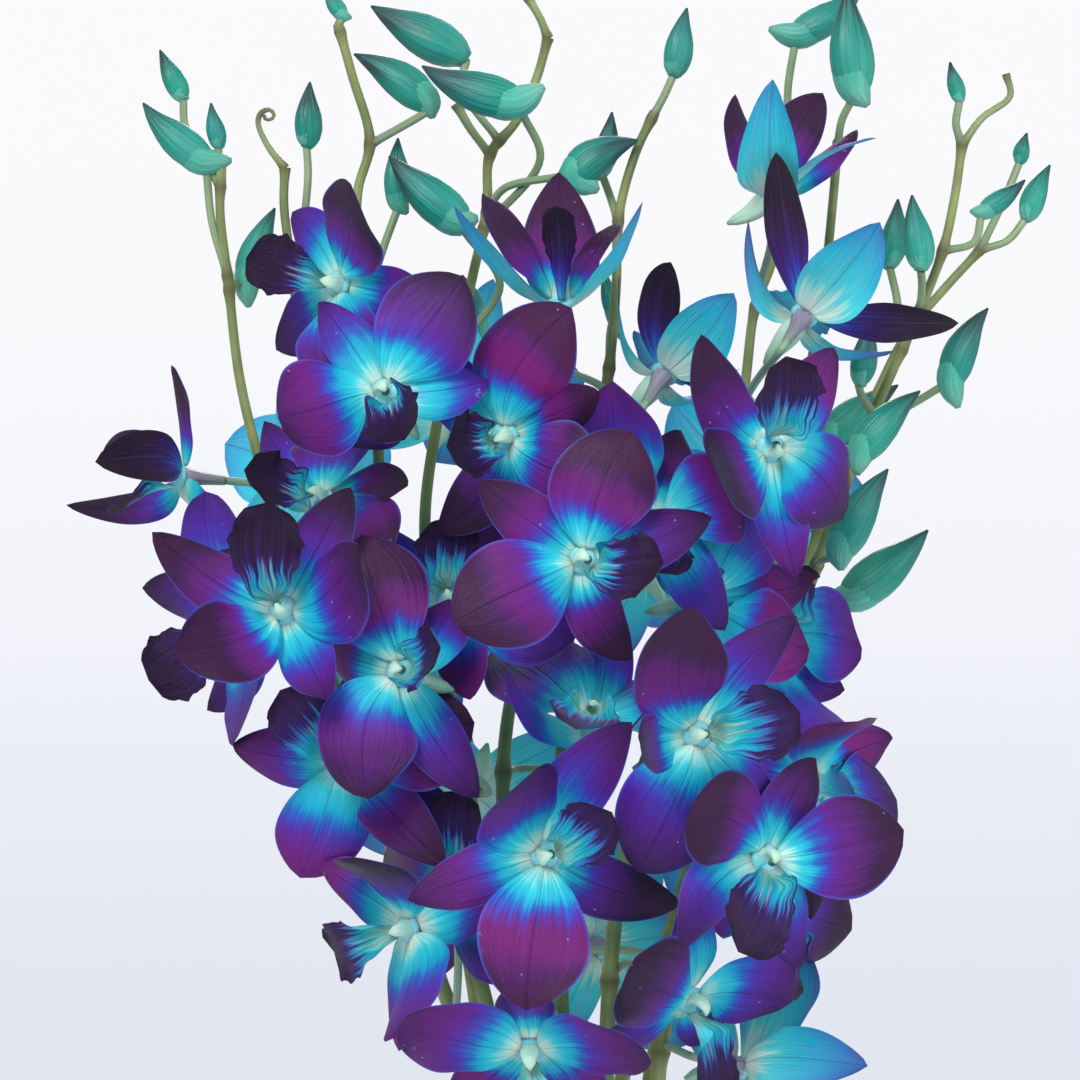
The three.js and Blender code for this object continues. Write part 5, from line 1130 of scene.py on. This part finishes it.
OVARY_GAP = 0.4
NECK_LENGTH, NECK_LEAD = 2, 7
RISE_SHARE, RISE = 0.35, np.array([0, 0, 4])
BEND_POINT = PEDICEL_STEPS // 3
BEND_PEAK = 27 / 4
BUD_LINE = [(1, 0), (0.75, 0), (0.42, 0.12), (0.12, 0.3), (0, 0.25)]
LEAST_PLUMP, PLUMP_SHARE = 2.4, 0.2
solid_corners = {spray["name"]: corners_of(spray["name"]) for spray in SPRAYS.values()}
for twig in TWIGS:
    spray = SPRAYS[twig["spray"]]
    start = on_stem(spray, twig["route"][0])
    line = curve_through([start, *(seen(pixel, spray["depth"]) for pixel in twig["route"][1:])], STALK_STEPS)
    radii = np.linspace(STEM_RADIUS_TOP * 0.9, twig["radius"], STALK_STEPS + 1)
    spray["lines"].append((line, radii, TWIG_PALE))
    spray["joints"] += [start, line[-1]]

for bloom in BLOOMS:
    spray, spot = SPRAYS[bloom["spray"]], bloom["frame"]
    start = on_stem(spray, bloom["joins"])
    end = spot["heart"] - spot["face"] * (OVARY_REACH + OVARY_GAP)
    neck = end - spot["face"] * NECK_LENGTH
    before = neck - spot["face"] * NECK_LEAD
    rise = start + (before - start) * RISE_SHARE + RISE
    share = np.linspace(0, 1, PEDICEL_STEPS + 1)[:, None]
    line = (start * (1 - share) ** 3 + 3 * rise * share * (1 - share) ** 2
            + 3 * before * share ** 2 * (1 - share) + neck * share ** 3)
    share = np.append(share[:, 0], 1)
    line = np.vstack([line, end])
    grips = 1 - (1 - share) ** 2
    kept = slid(line[BEND_POINT], grips[BEND_POINT] * bloom["shift"])
    bend = depth_near(solid_corners[spray["name"]], kept, within=1.3)
    line = slid(line, grips * bloom["shift"] + BEND_PEAK * share * (1 - share) ** 2 * bend)
    spray["lines"].append((line, np.full(len(line), PEDICEL_RADIUS), PEDICEL_PALE))
    spray["joints"].append(start)

for bud in BUDS:
    spray = SPRAYS[bud["spray"]]
    depth = spray["depth"] + bud["depth"]
    tip, base, chin = (seen(bud[key], depth) for key in ("tip", "base", "chin"))
    bud["shift"] = depth_near(solid_corners[spray["name"]], tip, within=0.5)
    axis, to_chin = tip - base, chin - base
    body = [base + axis * along + to_chin * aside for along, aside in BUD_LINE]
    start = on_stem(spray, bud["joins"])
    middle = seen(bud["stalk"], (depth + start[1]) / 2)
    line = curve_through([body[-1], middle, start], STALK_STEPS)
    line = slid(line, np.linspace(1, 0, len(line)) * bud["shift"])
    spray["lines"].append((line, np.full(len(line), PEDICEL_RADIUS), BUD_STALK_PALE))
    spray["joints"].append(start)
    bud["body"] = slid(np.array(body), bud["shift"])
    bud["plump"] = max(LEAST_PLUMP, PLUMP_SHARE * np.linalg.norm(axis))
    bud["spur"] = slid(np.array([body[2], body[3], base + to_chin * 0.85]), bud["shift"])
print("lines:", sum(len(spray["lines"]) for spray in SPRAYS.values()))

# %% The tree that sweeps a round skin along every line
def geometry_tree(name, inputs):
    tree = bpy.data.node_groups.new(name, "GeometryNodeTree")
    tree.interface.new_socket("Geometry", in_out="INPUT", socket_type="NodeSocketGeometry")
    named = {}
    for label, kind, value in inputs:
        socket = tree.interface.new_socket(label, in_out="INPUT", socket_type=kind)
        if value is not None:
            socket.default_value = value
        named[label] = socket.identifier
    tree.interface.new_socket("Geometry", in_out="OUTPUT", socket_type="NodeSocketGeometry")
    given = tree.nodes.new("NodeGroupInput").outputs
    out = tree.nodes.new("NodeGroupOutput").inputs
    return tree, given, out, named


def captured(tree, geometry, value, kind="FLOAT_VECTOR"):
    made = put(tree, "GeometryNodeCaptureAttribute", {"Geometry": geometry})
    made.capture_items.new("VECTOR" if kind == "FLOAT_VECTOR" else "FLOAT", "kept")
    tree.links.new(value, made.inputs[1])
    return made.outputs[0], made.outputs[1]


sweep, given, out, sweep_inputs = geometry_tree("stem_sweep", [
    ("Sides", "NodeSocketInt", STEM_SIDES), ("Joint swell", FLOAT, 0.35),
    ("Finish", "NodeSocketMaterial", None)])
curves = put(sweep, "GeometryNodeMeshToCurve", {0: given["Geometry"]}).outputs[0]
thick, near_joint = (
    put(sweep, "GeometryNodeInputNamedAttribute", {"Name": key}, data_type="FLOAT").outputs[0]
    for key in ("thick", "near_joint"))
length = put(sweep, "GeometryNodeSplineParameter").outputs["Length"]
curves, kept_length = captured(sweep, curves, length, "FLOAT")
circle = put(sweep, "GeometryNodeCurvePrimitiveCircle", {"Resolution": given["Sides"], "Radius": 1.0})
circle = circle.outputs[0]
circle, kept_round = captured(sweep, circle, put(sweep, "GeometryNodeInputPosition").outputs[0])
swell = calc(sweep, "MULTIPLY_ADD", near_joint, given["Joint swell"], 1.0)
swept = put(sweep, "GeometryNodeCurveToMesh", {
    0: curves, 1: circle, "Scale": calc(sweep, "MULTIPLY", thick, swell), "Fill Caps": True}).outputs[0]
round_parts = put(sweep, "ShaderNodeSeparateXYZ", {0: kept_round}).outputs
skin_value = put(sweep, "ShaderNodeCombineXYZ", {
    0: round_parts[0], 1: round_parts[1], 2: calc(sweep, "MULTIPLY", kept_length, 1 / MM)}).outputs[0]
swept = put(sweep, "GeometryNodeStoreNamedAttribute", {"Geometry": swept, "Name": "skin"},
            data_type="FLOAT_VECTOR", domain="POINT")
sweep.links.new(skin_value, swept.inputs["Value"])
swept = swept.outputs[0]
smooth_skin = put(sweep, "GeometryNodeSetShadeSmooth", {"Geometry": swept}).outputs[0]
real = put(sweep, "GeometryNodeRealizeInstances", {0: smooth_skin}).outputs[0]
coloured = put(sweep, "GeometryNodeSetMaterial", {"Geometry": real, "Material": given["Finish"]}).outputs[0]
sweep.links.new(coloured, out[0])
print("stem_sweep:", len(sweep.nodes), "nodes")

# %% Sweeping the stems
def plain_mesh(carrier, tree, settings, name):
    modifier = carrier.modifiers.new(tree.name, "NODES")
    modifier.node_group = tree
    for identifier, value in settings.items():
        modifier[identifier] = value
    bpy.context.view_layer.update()
    graph = bpy.context.evaluated_depsgraph_get()
    mesh = bpy.data.meshes.new_from_object(carrier.evaluated_get(graph))
    mesh.name = name
    carrier.modifiers.remove(modifier)
    bpy.data.objects.remove(carrier)
    return placed(name, mesh)


JOINT_REACH = 2.2
for key, spray in SPRAYS.items():
    points, edges, thick, joint, marks = [], [], [], [], []
    joints = np.array(spray["joints"])
    for line, radii, pale in spray["lines"]:
        start = len(points)
        edges += [(start + k, start + k + 1) for k in range(len(line) - 1)]
        points += line.tolist()
        thick += (radii * MM).tolist()
        apart = np.linalg.norm(line[:, None] - joints[None], axis=2).min(axis=1)
        close = np.exp(-(apart / JOINT_REACH) ** 2)
        joint += close.tolist()
        marks += [[near, pale, key * 0.7] for near in close]
    mesh = bpy.data.meshes.new("stem_lines")
    mesh.from_pydata((np.array(points) * MM).tolist(), edges, [])
    mesh.attributes.new("thick", "FLOAT", "POINT").data.foreach_set("value", thick)
    mesh.attributes.new("near_joint", "FLOAT", "POINT").data.foreach_set("value", joint)
    mesh.attributes.new("marks", "FLOAT_VECTOR", "POINT").data.foreach_set("vector", np.ravel(marks))
    piece = plain_mesh(placed("stem_lines", mesh), sweep, {
        sweep_inputs["Sides"]: STEM_SIDES, sweep_inputs["Finish"]: stem_skin}, f"stem_{key:02d}")
    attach(piece, "root")
    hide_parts(spray["name"])
    spray["piece"] = piece
print("stem faces:", [len(spray["piece"].data.polygons) for spray in SPRAYS.values()])

# %% [markdown]
# ## Buds
# A bud is a pointed spindle of three closed sepals, so its skin has three broad ribs and fine grooves. Its
# blunt end bulges to one side in a rounded spur, the chin of the flower to come.
# %% Bud bodies and spurs
def bud_ribs(share, angle):
    swell = np.sin(math.pi * np.clip(share, 0, 1)) ** 0.5
    return 1 + swell * (0.05 * np.cos(3 * angle) + 0.018 * np.cos(17 * angle + 2 * share))


BUD_PROFILE = np.array([0.32, 0.55, 0.78, 0.95, 1.02, 1, 0.8, 0.4])
SPUR_PROFILE = np.array([0.5, 0.85, 0.88, 0.8, 0.6, 0.15])
BUD_STEPS, SPUR_STEPS, BUD_TIP_RADIUS = 22, 12, 0.3
bud_marks = np.random.default_rng(11)
for key, spray in SPRAYS.items():
    own = [bud for bud in BUDS if bud["spray"] == key]
    if not own:
        continue
    shells = Shells()
    for bud in own:
        plump = bud["plump"]
        marks = [*bud_marks.uniform((-0.3, 0.0), (1.0, 0.9)), bud["tip"][0] * 0.013]
        radii = eased([BUD_TIP_RADIUS, *BUD_PROFILE * plump], BUD_STEPS)
        add_round(shells, curve_through(bud["body"], BUD_STEPS), radii, radii * 0.92, 0, marks, 20, None,
                  bud_ribs)
        add_tube(shells, bud["spur"], SPUR_STEPS, SPUR_PROFILE * plump, SPUR_PROFILE * plump, 1, marks, 16)
    piece = shells.piece(f"buds_{key:02d}", [bud_skin, spur_skin])
    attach(piece, "root")
    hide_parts(spray["name"])
print("buds made:", len(BUDS))

# %% [markdown]
# ## Vase and water
# The photograph cuts off above the vase, so it is a plain florist's cylinder: clear glass with a thick base
# and a softly rounded rim, two thirds full of water. Both are turned from a profile. Glass and water are
# real dielectrics, so each only needs its own index of refraction. The water's skin lies a hair inside the
# glass, because a film of air between them would mirror everything behind it.
# %% Glass, water, and turning a profile
glass, tree, shader = new_material(
    "glass", Transmission_Weight=1.0, IOR=1.5, Roughness=0.02, Base_Color=paint("#f2fbfa"))
place = put(tree, "ShaderNodeTexCoord").outputs["Object"]
ripples = put(tree, "ShaderNodeTexNoise", {"Vector": place, "Scale": 14.0, "Detail": 1.0}).outputs[0]
bump = put(tree, "ShaderNodeBump", {"Height": ripples, "Distance": 0.0004, "Strength": 0.5})
tree.links.new(bump.outputs[0], shader.inputs["Normal"])
water_finish = glass.copy()
water_finish.name = "water"
shader = water_finish.node_tree.nodes["Principled BSDF"]
shader.inputs["IOR"].default_value = 1.33
shader.inputs["Roughness"].default_value = 0.0
shader.inputs["Base Color"].default_value = paint("#eaf7f6")


def turned(name, profile, finish, sides=96):
    shells = Shells()
    profile = np.array(profile, float)
    line = np.column_stack([np.zeros((len(profile), 2)), profile[:, 1]])
    angle = 2 * math.pi * np.arange(sides) / sides
    ring = np.stack([np.cos(angle), np.sin(angle), np.zeros(sides)], axis=1)
    rings = line[:, None] + profile[:, :1, None] * ring[None]
    faces = ring_faces(len(profile), sides)
    points = np.vstack([rings.reshape(-1, 3), line[0], line[-1]])
    shells.add(points, faces, [0] * len(faces), np.zeros((len(points), 3)), [0, 0, 0])
    return shells.piece(name, [finish])


def arc(centre, radius, start, stop, steps=7):
    angles = np.radians(np.linspace(start, stop, steps))
    return [(centre[0] + radius * math.cos(a), centre[1] + radius * math.sin(a)) for a in angles]


bore = VASE_RADIUS - VASE_WALL
rim = VASE_WALL / 2
FOOT_EDGE = 2.5
CORNER = 4
FLAT_EDGE = bore - 12
vase = turned("vase_glass", [
    (VASE_RADIUS - 8, 0.0), *arc((VASE_RADIUS - FOOT_EDGE, FOOT_EDGE), FOOT_EDGE, -90, 0),
    *arc((VASE_RADIUS - rim, VASE_HEIGHT - rim), rim, 0, 180, 13),
    *arc((bore - CORNER, VASE_BASE + CORNER), CORNER, 0, -90), (FLAT_EDGE, VASE_BASE)], glass)
WET = 0.2
water = turned("vase_water", [
    (FLAT_EDGE, VASE_BASE - WET), *arc((bore - CORNER + WET, VASE_BASE + CORNER - WET), CORNER, -90, 0),
    (bore + WET, WATER_LEVEL), (bore - 1.0, WATER_LEVEL - 0.8), (bore - 3.0, WATER_LEVEL - 1.2)],
    water_finish)
for piece, node, slot in ((vase, "vase", "glass"), (water, "water", "water")):
    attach(piece, "root")
    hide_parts(node)
print("vase:", len(vase.data.polygons), "faces; water:", len(water.data.polygons), "faces")

# %% [markdown]
# ## Floor, light and sky
# The photograph has a plain bright background, a little bluer towards its lower corners. A pale disc stands
# under the vase, just short of the camera's lower edge, and a soft key light, a fill and a rim light give
# the petals their form.
# %% The floor
FLOOR_RADIUS = 1.38
floor_profile = [(0.02, -4.0), (1.0, -4.0), (1.0, -0.05), (0.02, -0.05)]
floor_finish, tree, shader = new_material("floor", Roughness=0.7)
place = put(tree, "ShaderNodeTexCoord").outputs["Object"]
mottle = put(tree, "ShaderNodeTexNoise", {"Vector": place, "Scale": 6.0, "Detail": 4.0}).outputs[0]
floor_colour = ramp(tree, mottle, [(0.3, "#e4e7ee"), (0.7, "#eef0f5")])
tree.links.new(floor_colour, shader.inputs["Base Color"])
floor = turned("floor", [(r * FLOOR_RADIUS / MM, z) for r, z in floor_profile], floor_finish)
print("floor radius:", FLOOR_RADIUS)

# %% The sky and the lamps
world = bpy.data.worlds.new("studio")
bpy.context.scene.world = world
world.use_nodes = True
tree = world.node_tree
sky = tree.nodes["Background"]
way = put(tree, "ShaderNodeTexCoord").outputs["Generated"]
height = between(tree, put(tree, "ShaderNodeSeparateXYZ", {0: way}).outputs[2], -0.16, 0.12)
sky_colour = ramp(tree, height, [(0.0, "#e2e6f1"), (0.5, "#f3f4fa"), (1.0, "#fafafc")])
tree.links.new(sky_colour, sky.inputs["Color"])
looked_at = put(tree, "ShaderNodeLightPath").outputs["Is Camera Ray"]
strength = between(tree, looked_at, 0.0, 1.0, 0.6, 1.0)
tree.links.new(strength, sky.inputs["Strength"])


def lamp(name, place, aim, size, power, colour):
    data = bpy.data.lights.new(name, "AREA")
    data.shape = "DISK"
    data.size = size
    data.energy = power
    data.color = paint(colour)[:3]
    made = placed(name, data)
    made.location = place
    direction = np.array(aim, float) - np.array(place, float)
    flat = math.hypot(direction[0], direction[1])
    made.rotation_euler = (math.pi / 2 + math.atan2(direction[2], flat), 0,
                           math.atan2(direction[1], direction[0]) - math.pi / 2)


lamp("key", (-0.5, -1.5, 1.5), (0, 0, 0.38), 0.9, 25, "#ffffff")
lamp("fill", (1.4, -0.9, 0.8), (0, 0, 0.36), 1.2, 9, "#eef3ff")
lamp("back", (0.2, 1.5, 1.3), (0, 0, 0.42), 0.8, 12, "#ffffff")
bpy.context.scene.view_settings.view_transform = "Standard"
print("lamps:", len(bpy.data.lights))
